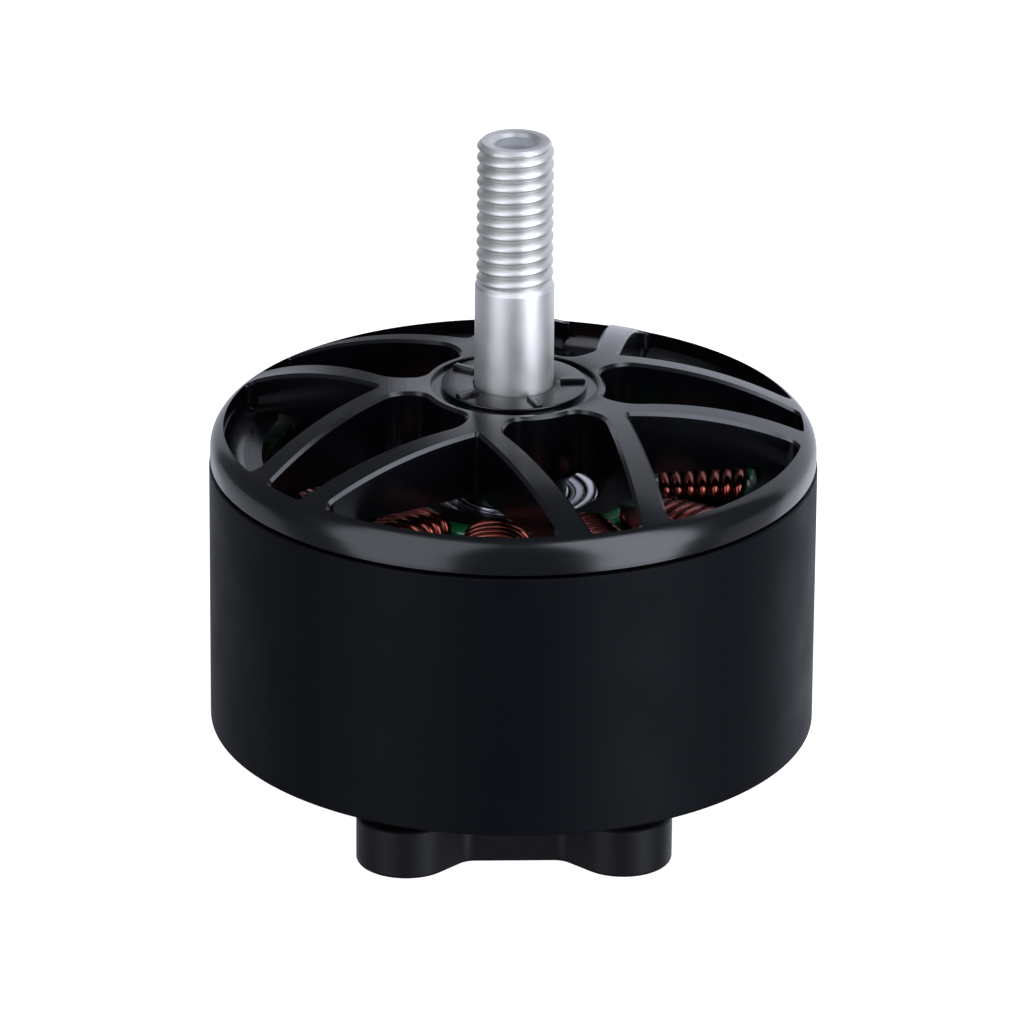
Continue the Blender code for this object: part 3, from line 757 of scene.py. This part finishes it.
def straight(points, longest):
    """An outline with points added along its long straight stretches."""
    filled = []
    for index, here in enumerate(points):
        there = points[(index + 1) % len(points)]
        count = max(1, math.ceil(math.dist(here, there) / longest))
        for step in range(count):
            share = step / count
            filled.append((here[0] + (there[0] - here[0]) * share, here[1] + (there[1] - here[1]) * share))
    return filled


def bar_edge(side):
    """Edge of a node's upper bar: side +1 faces the node's own V, -1 the hub window."""
    angle = math.radians(BAR_ANGLE)
    shift = side * BAR_WIDTH / 2
    point = (NODE_FORK + shift * math.sin(angle), -shift * math.cos(angle))
    return point, BAR_ANGLE - side * BAR_TAPER


def v_window():
    """Window between a node's two bars, for a node on +X."""
    point, angle = bar_edge(1)
    upper = Line(point, angle + 180.0)
    lower = Line((point[0], -point[1]), -angle)
    rim = Rim(RIM_RADIUS, True)
    crotch = fillet(upper, lower, CROTCH_FILLET)
    corner = fillet(lower, rim, RIM_FILLET)
    outer = rim_points(RIM_RADIUS, corner[-1], mirrored(corner)[0], 5 * WINDOW_STEPS)
    return crotch + corner + outer + mirrored(corner)


def hub_window():
    """Window between two nodes, for nodes half a pitch either side of +X."""
    half_pitch = 180.0 / SPOKE_NODES
    point, angle = bar_edge(-1)
    bar = Line(turned_about([point], -half_pitch)[0], angle - half_pitch)
    arm = Line(turned_about([(HUB_RADIUS, ARM_WIDTH / 2)], -half_pitch)[0], -half_pitch)
    hub = Rim(HUB_RADIUS, False)
    rim = Rim(RIM_RADIUS, True)
    lower = fillet(hub, arm, HUB_FILLET) + fillet(arm, bar, ARM_FILLET) + fillet(bar, rim, RIM_FILLET)
    upper = mirrored(lower)
    outer = rim_points(RIM_RADIUS, lower[-1], upper[0], 2 * WINDOW_STEPS)
    inner = rim_points(HUB_RADIUS, upper[-1], lower[0], 2 * WINDOW_STEPS)
    return lower + outer + upper + inner


def window_rows(outline):
    """Rows of a cutter that leaves a chamfer where its sides, except at the rim, meet the dome."""
    rows = []
    for height in (CLEAR, 0.0, -WINDOW_EDGE):
        row = []
        for x, y in inset(outline, -(WINDOW_EDGE + min(height, 0.0))):
            share = min(1.0, RIM_RADIUS / math.hypot(x, y))
            row.append((x * share, y * share, dome_height(share * math.hypot(x, y)) + height))
        rows.append(row)
    rows.append([(x, y, SEAM - CLEAR) for x, y in outline])
    return rows


def lip_section():
    """Section of the space that the windows spare, so that they leave a filleted lip."""
    foot = SEAM + LEDGE_RISE
    centre = (RIM_RADIUS - LIP_FILLET, foot + LIP_FILLET)
    curve = arc(LIP_FILLET, 270.0, 270.0 + LIP_SWEEP, LIP_STEPS, centre)
    inside = LEDGE_RADIUS - OVERRUN
    outside = RIM_RADIUS + OVERRUN
    floor = SEAM - 2 * CLEAR
    return [(outside, curve[-1][1]), (outside, floor), (inside, floor), (inside, foot)] + curve


def make_cap(material):
    pitch = 360.0 / SPOKE_NODES
    work = bmesh.new()
    for node in range(SPOKE_NODES):
        for outline, turn in ((v_window(), 0.0), (hub_window(), pitch / 2)):
            placed = turned_about(straight(outline, WALL_STEP), NODE_ANGLE + pitch * node + turn)
            add_rows(work, window_rows(placed), ends=(0, -1))
    windows = as_mesh(work, "windows")
    windows = boolean(windows, turned("lip_guard", lip_section(), BELL_SIDES), 'DIFFERENCE')
    cap = boolean(turned("cap", cap_section(), BELL_SIDES), windows, 'DIFFERENCE')
    disc = HUB_FACE + SEAT_DISC_RISE
    half = RIB_WIDTH / 2
    bar = [(RIB_INNER, -half, RIB_EDGE), (RIB_INNER + RIB_LENGTH, -half, RIB_EDGE),
           (RIB_INNER + RIB_LENGTH, half, RIB_EDGE), (RIB_INNER, half, RIB_EDGE)]
    ribs = []
    for node in range(SPOKE_NODES):
        rib = soft_prism("rib", [eased(bar)], disc - RIB_HEIGHT, disc + RIB_HEIGHT, RIB_EDGE)
        ribs.append(moved(rib, NODE_ANGLE + pitch * (node + 0.5)))
    cap = boolean(cap, merged("ribs", ribs), 'UNION')
    piece("spoked_cap", cap, material, "rotor", "bell_cap")


# ---- the rest of the bell ----
def make_flux_ring(material):
    inner = BELL_RADIUS - RING_WALL
    section = eased([(BELL_RADIUS, SEAM, RING_EDGE), (BELL_RADIUS, RING_BOTTOM, RING_EDGE),
                     (inner, RING_BOTTOM, RING_EDGE), (inner, SEAM, RING_EDGE)])
    piece("magnet_ring", turned("ring", section, BELL_SIDES), material, "rotor", "flux_ring")


def make_magnets(material):
    for index in range(MAGNETS):
        node = f"magnet_{index + 1:02d}"
        bottom, top = reach(node)[1:]
        start = 360.0 / MAGNETS * index
        outer = arc(MAGNET_OUTER, start, start + MAGNET_SPAN, MAGNET_STEPS)
        inner = arc(MAGNET_INNER, start + MAGNET_SPAN, start, MAGNET_STEPS)
        corners = []
        for side in (outer, inner):
            for place, (x, y) in enumerate(side):
                corners.append((x, y, MAGNET_EDGE if place in (0, len(side) - 1) else 0.0))
        mesh = soft_prism(node, [eased(corners)], bottom, top, MAGNET_EDGE)
        piece(f"coated_magnet_{index + 1:02d}", mesh, material, "rotor", node)


def add_thread(work, start, end, pitch, sides, per_turn, radius_at):
    """Add a helical side whose rows climb with the thread between two flat ends.

    radius_at gives the radius for a height and a share of a turn. The ends are
    circles once their doubled points are welded.
    """
    rows = math.ceil(per_turn * ((end - start) / pitch + 1.0))
    grid = []
    for row in range(rows + 1):
        points = []
        for side in range(sides):
            turn = side / sides
            z = min(max(start + pitch * (row / per_turn + turn - 1.0), start), end)
            point = polar(radius_at(z, turn), 360.0 * side / sides, z)
            points.append(work.verts.new([value * MM for value in point]))
        grid.append(points)
    for row, points in enumerate(grid):
        points.append(grid[min(row + per_turn, rows)][0])
    for lower, upper in zip(grid, grid[1:]):
        for side in range(sides):
            corners = [lower[side], lower[side + 1], upper[side + 1], upper[side]]
            if len(set(corners)) == 4:
                work.faces.new(corners)


def ridge(z, turn, start, pitch):
    """Share of the thread's depth at a height: 1 on the rounded crest, 0 in the sharp root."""
    phase = (z - start) / pitch - turn
    return math.cos(math.pi * (phase - round(phase))) ** THREAD_ROUNDING


def shaft_radius(z, turn):
    depth = THREAD_CREST - THREAD_ROOT
    fade = min(1.0, (z - THREAD_START) / THREAD_FADE)
    shape = 1.0 - fade * (1.0 - ridge(z, turn, THREAD_START, THREAD_PITCH))
    chamfer = THREAD_CREST - THREAD_CHAMFER + (SHAFT_TOP - z)
    return min(THREAD_ROOT + depth * shape, chamfer)


def make_shaft(material, bore_material):
    clip_bottom, clip_top = reach("retaining_clip")[1:]
    groove_bottom, groove_top = clip_bottom - FIT, clip_top + FIT
    work = bmesh.new()
    add_thread(work, THREAD_START, SHAFT_TOP, THREAD_PITCH, ROUND_SIDES, THREAD_ROWS, shaft_radius)
    crest = THREAD_CREST - THREAD_CHAMFER
    mouth = SHAFT_BORE_RADIUS + BORE_CHAMFER
    section = [(THREAD_CREST, THREAD_START), (SHAFT_RADIUS - RELIEF_DEPTH, THREAD_START - RELIEF_MIDDLE),
               (SHAFT_RADIUS, THREAD_START - RELIEF_HEIGHT), (SHAFT_RADIUS, groove_top),
               (CLIP_GROOVE_RADIUS, groove_top), (CLIP_GROOVE_RADIUS, groove_bottom),
               (SHAFT_RADIUS, groove_bottom), (SHAFT_RADIUS, SHAFT_BOTTOM + SHAFT_END_CHAMFER),
               (SHAFT_RADIUS - SHAFT_END_CHAMFER, SHAFT_BOTTOM),
               (SHAFT_BORE_RADIUS + BORE_END_CHAMFER, SHAFT_BOTTOM),
               (SHAFT_BORE_RADIUS, SHAFT_BOTTOM + BORE_END_CHAMFER),
               (SHAFT_BORE_RADIUS, SHAFT_TOP - BORE_CHAMFER), (mouth - BORE_LIP_MIDDLE, SHAFT_TOP - BORE_LIP),
               (mouth, SHAFT_TOP - BORE_LIP_RISE), (mouth + BORE_LIP, SHAFT_TOP), (crest, SHAFT_TOP)]
    add_rows(work, circle_rows(section, ROUND_SIDES))
    mesh = as_mesh(work, "threaded_shaft", weld=True)
    shaft = piece("threaded_shaft", mesh, material, "rotor", "shaft")
    shaft.data.materials.append(bore_material)
    for polygon in shaft.data.polygons:
        if math.hypot(*polygon.center[:2]) < (SHAFT_BORE_RADIUS + BORE_WALL) * MM:
            polygon.material_index = 1


def make_retainers(clip_material, washer_material):
    radius, bottom, top = reach("retaining_clip")
    inner = CLIP_GROOVE_RADIUS + FIT
    outline = arc(radius, CLIP_MOUTH - 90.0, 270.0 - CLIP_MOUTH, CLIP_STEPS)
    ears = arc(inner, 270.0 - CLIP_EAR, CLIP_EAR - 90.0, CLIP_INNER_STEPS)
    corners = [(*point, 0.0) for point in outline + ears]
    for place in (0, CLIP_STEPS, CLIP_STEPS + 1, -1):
        corners[place] = (*corners[place][:2], CLIP_END_EDGE)
    piece("snap_clip", soft_prism("clip", [eased(corners)], bottom, top, CLIP_EDGE), clip_material,
          "rotor", "retaining_clip")
    radius, bottom, top = reach("shim_washer")
    inner = SHAFT_RADIUS + FIT
    corners = [(radius, top), (radius, bottom), (inner, bottom), (inner, top)]
    section = eased([(*corner, CLIP_EDGE) for corner in corners])
    piece("spacer_shim", turned("shim", section, ROUND_SIDES), washer_material,
          "rotor", "shim_washer")


# ---- the bearings ----
def groove(land, middle, way):
    """(radius, height, 0) points of a race's ball groove, top to bottom for way -1."""
    half = math.degrees(math.acos(abs(land - BALL_PITCH) / GROOVE_RADIUS))
    points = []
    for across, along in arc(GROOVE_RADIUS, -half, half, GROOVE_STEPS):
        points.append((BALL_PITCH + math.copysign(across, land - BALL_PITCH), middle + way * along, 0.0))
    return points


def make_bearing(prefix, race_material, shield_material, ball_material):
    radius, bottom, top = reach(prefix + "_outer_race")
    middle = (top + bottom) / 2
    inner = SHAFT_RADIUS + FIT
    land = OUTER_RACE_INNER
    outer_race = [(radius, top, RACE_EDGE), (radius, bottom, RACE_EDGE), (land, bottom, LAND_EDGE)]
    outer_race += groove(land, middle, 1.0) + [(land, top, LAND_EDGE)]
    piece(prefix + "_fixed_race", turned("race", eased(outer_race), ROUND_SIDES), race_material,
          "stator", prefix + "_outer_race")
    land = INNER_RACE_OUTER
    inner_race = [(land, top, LAND_EDGE)] + groove(land, middle, -1.0) + [(land, bottom, LAND_EDGE)]
    inner_race += [(inner, bottom, RACE_BORE_EDGE), (inner, top, RACE_BORE_EDGE)]
    piece(prefix + "_turning_race", turned("race", eased(inner_race), ROUND_SIDES), race_material,
          "rotor", prefix + "_inner_race")
    for side, way in (("top", 1.0), ("bottom", -1.0)):
        node = f"{prefix}_{side}_shield"
        outer, low, high = reach(node)
        outside, inside = (high, low) if way > 0 else (low, high)
        lip = outside - SHIELD_DISH * way
        corners = [(SHIELD_INNER, inside), (SHIELD_INNER, lip), (SHIELD_INNER + SHIELD_LIP, lip),
                   (SHIELD_INNER + SHIELD_LIP + SHIELD_STEP, outside)]
        section = eased([(outer, outside, SHIELD_EDGE), (outer, inside, SHIELD_EDGE)]
                        + [(*corner, SHIELD_LIP_EDGE) for corner in corners], steps=2)
        piece(f"{prefix}_{side}_seal", turned("seal", section, ROUND_SIDES), shield_material,
              "stator", node)
    cage = prefix.replace("bearing", "cage")
    balls = []
    for index in range(BALLS):
        work = bmesh.new()
        bmesh.ops.create_icosphere(work, subdivisions=3, radius=BALL_RADIUS * MM)
        place = polar(BALL_PITCH, BALL_PHASE + 360.0 / BALLS * index, middle)
        balls.append(moved(as_mesh(work, "ball"), 0.0, place))
    node = prefix + "_ball_cage"
    piece(prefix + "_balls", merged("balls", balls), ball_material, cage, node)
    for name, way in (("upper_ribbon", 1.0), ("lower_ribbon", -1.0)):
        piece(f"{prefix}_{name}", ribbon_mesh(middle, way), shield_material, cage, node)


def ribbon_mesh(middle, way):
    """A flat band that arches over each ball: half of a pressed ribbon cage."""
    sides = RIBBON_STEPS * BALLS
    outer, inner = BALL_PITCH + RIBBON_HALF, BALL_PITCH - RIBBON_HALF
    rows = []
    for radius, above in ((outer, RIBBON_OUTSIDE), (outer, RIBBON_INSIDE),
                          (inner, RIBBON_INSIDE), (inner, RIBBON_OUTSIDE)):
        row = []
        for side in range(sides):
            degrees = 360.0 * side / sides
            from_ball = ((degrees - BALL_PHASE) * BALLS / 360.0 + 0.5) % 1.0 - 0.5
            away = abs(from_ball) * math.radians(360.0 / BALLS) * BALL_PITCH
            lift = math.sqrt(max(0.0, (BALL_RADIUS + RIBBON_PLAY) ** 2 - away ** 2))
            row.append(polar(radius, degrees, middle + way * (lift + above)))
        rows.append(row)
    return rows_mesh("ribbon", rows, loop=True)


# ---- the stator ----
def core_outline():
    """Twelve teeth with shoes, as one closed outline."""
    half = TOOTH_WIDTH / 2
    root = math.degrees(math.asin(half / YOKE_RADIUS))
    pitch = 360.0 / TEETH
    tip_x, tip_y = polar(STATOR_RADIUS - SHOE_EDGE, SHOE_HALF_ANGLE)[:2]
    outline = []
    for tooth in range(TEETH):
        before = arc(YOKE_RADIUS, -pitch / 2, -root, YOKE_STEPS)
        after = arc(YOKE_RADIUS, root, pitch / 2, YOKE_STEPS)
        face = arc(STATOR_RADIUS, -SHOE_HALF_ANGLE, SHOE_HALF_ANGLE, SHOE_STEPS)
        corners = [(*point, 0.0) for point in before[:-1]]
        corners += [(*before[-1], TOOTH_FILLET), (SHOE_INNER, -half, SHOE_FILLET), (tip_x, -tip_y, TIP_EDGE)]
        corners += [(*face[0], SHOE_FILLET)] + [(*point, 0.0) for point in face[1:-1]]
        corners += [(*face[-1], SHOE_FILLET), (tip_x, tip_y, TIP_EDGE), (SHOE_INNER, half, SHOE_FILLET)]
        corners += [(*after[0], TOOTH_FILLET)] + [(*point, 0.0) for point in after[1:-1]]
        turn = TOOTH_PHASE + pitch * tooth
        placed = turned_about([corner[:2] for corner in corners], turn)
        outline += [(*point, corner[2]) for point, corner in zip(placed, corners)]
    return eased(outline, steps=3)


def make_core(material):
    bottom, top = reach("stator_core")[1:]
    bore = arc(STATOR_BORE, 360.0, 0.0, STATOR_BORE_STEPS)[:-1]
    mesh = soft_prism("core", [core_outline(), bore], bottom, top, COATING_EDGE)
    piece("coated_core", mesh, material, "stator", "stator_core")


def turn_points(along, crown, rise, bottom, top):
    """One turn of wire round a tooth on +X: up one flank, over the top, down and back under."""
    points = []
    for step in range(FLANK_STEPS):
        points.append((along, COIL_HALF, bottom + (top - bottom) * step / FLANK_STEPS))
    for step in range(CROWN_STEPS + 1):
        angle = math.pi * step / CROWN_STEPS
        share = math.sin(angle)
        points.append((along + (crown - along) * share, COIL_HALF * math.cos(angle),
                       top + rise * share ** CROWN_BULGE))
    for step in range(1, FLANK_STEPS):
        points.append((along, -COIL_HALF, top + (bottom - top) * step / FLANK_STEPS))
    for step in range(CROWN_STEPS + 1):
        angle = math.pi * step / CROWN_STEPS
        share = (1.0 - math.cos(angle)) / 2
        points.append((along + COIL_STEP * share, -COIL_HALF * math.cos(angle),
                       bottom - FOOT_RISE * math.sin(angle) ** CROWN_BULGE))
    return points[:-1]


def coil_path(chance, bottom, top):
    """The wire's centre line, turn by turn out along the tooth."""
    path = []
    for turn in range(COIL_TURNS):
        along = COIL_FIRST + COIL_STEP * turn
        crown = CROWN_FIRST + CROWN_STEP * turn + chance.uniform(-WIRE_JITTER, WIRE_JITTER)
        rise = CROWN_RISE + CROWN_GAIN * turn + chance.uniform(-WIRE_JITTER, WIRE_JITTER)
        path += turn_points(along, crown, rise, bottom, top)
    return path


def tube(name, path, radius, sides):
    """A round tube with closed ends along a path that never runs along X."""
    rows = []
    for index, point in enumerate(path):
        here = Vector(point)
        ahead = Vector(path[min(index + 1, len(path) - 1)])
        behind = Vector(path[max(index - 1, 0)])
        along = (ahead - behind).normalized()
        side = along.cross(Vector((1.0, 0.0, 0.0))).normalized()
        up = side.cross(along)
        row = []
        for step in range(sides):
            angle = TAU * step / sides
            row.append(here + (side * math.cos(angle) + up * math.sin(angle)) * radius)
        rows.append(row)
    return rows_mesh(name, rows, ends=(0, -1))


def make_windings(material):
    bottom, top = reach("stator_core")[1:]
    chance = random.Random(WIRE_SEED)
    for index in range(TEETH):
        mesh = tube("wire", coil_path(chance, bottom, top), WIRE_RADIUS, WIRE_SIDES)
        moved(mesh, TOOTH_PHASE + 360.0 / TEETH * index)
        piece(f"wound_coil_{index + 1:02d}", mesh, material, "stator",
              f"winding_{index + 1:02d}", sharp=WIRE_SHARP)


# ---- the base ----
def base_outline():
    """Cross of four arms with round ends, and flat waists between them."""
    far = WAIST + WAIST_FILLET
    centre = (far, far - math.sqrt(2.0) * (LUG_RADIUS + WAIST_FILLET))
    corner = arc(WAIST_FILLET, 180.0, 135.0, CORNER_STEPS, centre)
    quarter = corner + arc(LUG_RADIUS, -45.0, 135.0, LUG_STEPS, (LUG_OFFSET, LUG_OFFSET))
    quarter += [(y, x) for x, y in reversed(corner)]
    outline = []
    for turn in range(4):
        outline += turned_about(quarter, 90.0 * turn)
    return outline


def hole_radius(z, turn):
    """A tapped hole's thread, with a chamfered mouth at z = 0."""
    fade = min(1.0, (HOLE_DEPTH - z) / HOLE_PITCH)
    depth = (HOLE_MAJOR - HOLE_RADIUS) * ridge(z, turn, 0.0, HOLE_PITCH) * fade
    return max(HOLE_RADIUS + depth, HOLE_MOUTH - z)


def tapped_hole(x, y):
    work = bmesh.new()
    add_thread(work, 0.0, HOLE_DEPTH, HOLE_PITCH, HOLE_SIDES, HOLE_ROWS, hole_radius)
    mouth = [(HOLE_MOUTH, 0.0), (HOLE_MOUTH, -OVERRUN)]
    add_rows(work, circle_rows(mouth, HOLE_SIDES), ends=(-1,))
    cone = [(DRILL_TIP, HOLE_DEPTH + DRILL_CONE), (HOLE_RADIUS, HOLE_DEPTH)]
    add_rows(work, circle_rows(cone, HOLE_SIDES), ends=(0,))
    return moved(as_mesh(work, "hole", weld=True), 0.0, (x, y, 0.0))


def make_base(material):
    core_bottom = reach("stator_core")[1]
    tube_top = reach("base")[2]
    race_radius, upper_bottom, upper_top = reach("upper_bearing_outer_race")
    lower_top = reach("lower_bearing_outer_race")[2]
    base = soft_prism("base", [base_outline()], 0.0, LUG_HEIGHT, LUG_EDGE, steps=4)
    tube_radius = STATOR_BORE - FIT
    inside = TUBE_BORE - OVERRUN
    shoulder = core_bottom - FIT
    foot = LUG_HEIGHT - BODY_OVERLAP
    body = eased([(tube_radius, tube_top, PLATE_EDGE), (tube_radius, shoulder, 0.0),
                  (SHOULDER_RADIUS, shoulder, SHOULDER_EDGE), (SHOULDER_RADIUS, PLATE_TOP, PLATE_FILLET),
                  (PLATE_RADIUS, PLATE_TOP, PLATE_EDGE), (PLATE_RADIUS, PLATE_BOTTOM, PLATE_EDGE),
                  (BASE_BOSS_RADIUS, PLATE_BOTTOM, BASE_BOSS_FILLET), (BASE_BOSS_RADIUS, foot, 0.0),
                  (inside, foot, 0.0), (inside, tube_top, 0.0)])
    base = boolean(base, turned("body", body, BELL_SIDES // 2), 'UNION')
    pocket = race_radius + FIT
    mouth = pocket + TUBE_CHAMFER
    bore = [(mouth, tube_top + CLEAR), (mouth, tube_top), (pocket, upper_top), (pocket, upper_bottom - FIT),
            (TUBE_BORE, upper_bottom - FIT), (TUBE_BORE, lower_top + FIT), (pocket, lower_top + FIT),
            (pocket, POCKET_CHAMFER), (pocket + POCKET_CHAMFER, 0.0), (pocket + POCKET_CHAMFER, -CLEAR)]
    base = boolean(base, plug("bore", bore, ROUND_SIDES), 'DIFFERENCE')
    holes = [tapped_hole(x, y) for x in (-HOLE_OFFSET, HOLE_OFFSET) for y in (-HOLE_OFFSET, HOLE_OFFSET)]
    base = boolean(base, merged("holes", holes), 'DIFFERENCE')
    half = LEAD_EXIT_WIDTH / 2
    far, near = PLATE_RADIUS + CLEAR, PLATE_RADIUS - LEAD_EXIT_DEPTH
    notch = [(half, far, 0.0), (-half, far, 0.0), (-half, near, LEAD_EXIT_CORNER),
             (half, near, LEAD_EXIT_CORNER)]
    lead_exit = soft_prism("exit", [eased(notch, LEAD_EXIT_STEPS)], PLATE_BOTTOM - OVERRUN,
                           PLATE_TOP + OVERRUN, LEAD_EXIT_EDGE)
    base = boolean(base, lead_exit, 'DIFFERENCE')
    piece("lugged_base", base, material, "stator", "base")


# ---- the studio ----
def make_floor(material):
    mesh = bpy.data.meshes.new("floor")
    half = FLOOR_SIZE / 2 * MM
    mesh.from_pydata([(-half, -half, 0.0), (half, -half, 0.0), (half, half, 0.0), (-half, half, 0.0)], [],
                     [(0, 1, 2, 3)])
    mesh.materials.append(material)
    floor = bpy.data.objects.new("floor", mesh)
    floor.location.z = -FIT * MM
    floor.visible_glossy = False
    floor.visible_shadow = False
    bpy.context.scene.collection.objects.link(floor)


def make_softbox(name, azimuth, elevation, width, height, radiance):
    """A soft rectangular light, in metres, that faces the object from a direction in degrees."""
    data = bpy.data.lights.new(name + "_softbox", 'AREA')
    data.shape = 'RECTANGLE'
    data.size = width
    data.size_y = height
    data.energy = radiance * math.pi * width * height
    data.color = LIGHT_TINT
    light = bpy.data.objects.new(name + "_softbox", data)
    rise = math.radians(elevation)
    around = Vector(polar(LIGHT_DISTANCE * math.cos(rise), azimuth, LIGHT_DISTANCE * math.sin(rise)))
    light.location = around
    light.rotation_euler = around.to_track_quat('Z', 'Y').to_euler()
    light.visible_camera = False
    bpy.context.scene.collection.objects.link(light)


def make_world():
    """Dim surroundings for the reflections, and white behind the object."""
    world = bpy.data.worlds.new("studio")
    world.use_nodes = True
    tree = world.node_tree
    background = tree.nodes["Background"]
    background.inputs["Color"].default_value = (*LIGHT_TINT, 1.0)
    rays = tree.nodes.new("ShaderNodeLightPath")
    strength = tree.nodes.new("ShaderNodeMapRange")
    strength.inputs["To Min"].default_value = ROOM_STRENGTH
    strength.inputs["To Max"].default_value = 1.0
    tree.links.new(rays.outputs["Is Camera Ray"], strength.inputs["Value"])
    tree.links.new(strength.outputs["Result"], background.inputs["Strength"])
    bpy.context.scene.world = world


def make_camera():
    rise = math.radians(CAMERA_ELEVATION)
    back = Vector(polar(math.cos(rise), CAMERA_AZIMUTH, math.sin(rise)))
    right = Vector(polar(1.0, CAMERA_AZIMUTH + 90.0))
    axes = Matrix((right, back.cross(right), back)).transposed().to_4x4()
    roll = Matrix.Rotation(math.radians(CAMERA_ROLL), 4, 'Z')
    target = right * CAMERA_SHIFT + Vector((0.0, 0.0, CAMERA_HEIGHT))
    place = (target + back * CAMERA_DISTANCE) * MM
    data = bpy.data.cameras.new("camera")
    data.lens = CAMERA_LENS
    camera = bpy.data.objects.new("camera", data)
    camera.matrix_world = Matrix.Translation(place) @ axes @ roll
    bpy.context.scene.collection.objects.link(camera)
    bpy.context.scene.camera = camera


make_camera()
race_steel, shield_steel, ball_steel = race_look(), shield_look(), ball_look()
make_base(base_look())
make_core(coating_look())
make_windings(wire_look())
for bearing in ("upper_bearing", "lower_bearing"):
    make_bearing(bearing, race_steel, shield_steel, ball_steel)
make_cap(cap_look())
make_flux_ring(ring_look())
make_magnets(magnet_look())
make_shaft(shaft_look(), bore_look())
make_retainers(clip_look(), race_steel)

make_floor(floor_look())
make_world()
# degrees round and up, metres wide and high, radiance
make_softbox("left_front", -136.5, 16.0, 0.82, 2.1, 2.0)
make_softbox("right_front", -43.0, 16.0, 0.68, 2.1, 4.0)
make_softbox("right_back", 57.0, 11.5, 1.1, 1.9, 0.85)
make_softbox("right_low", 28.0, -22.0, 1.1, 0.4, 0.3)
make_softbox("left_back", 111.0, -2.0, 0.42, 0.9, 0.6)
make_softbox("left_low", 148.0, -20.0, 0.7, 0.5, 0.38)
bpy.context.scene.view_settings.view_transform = 'Standard'
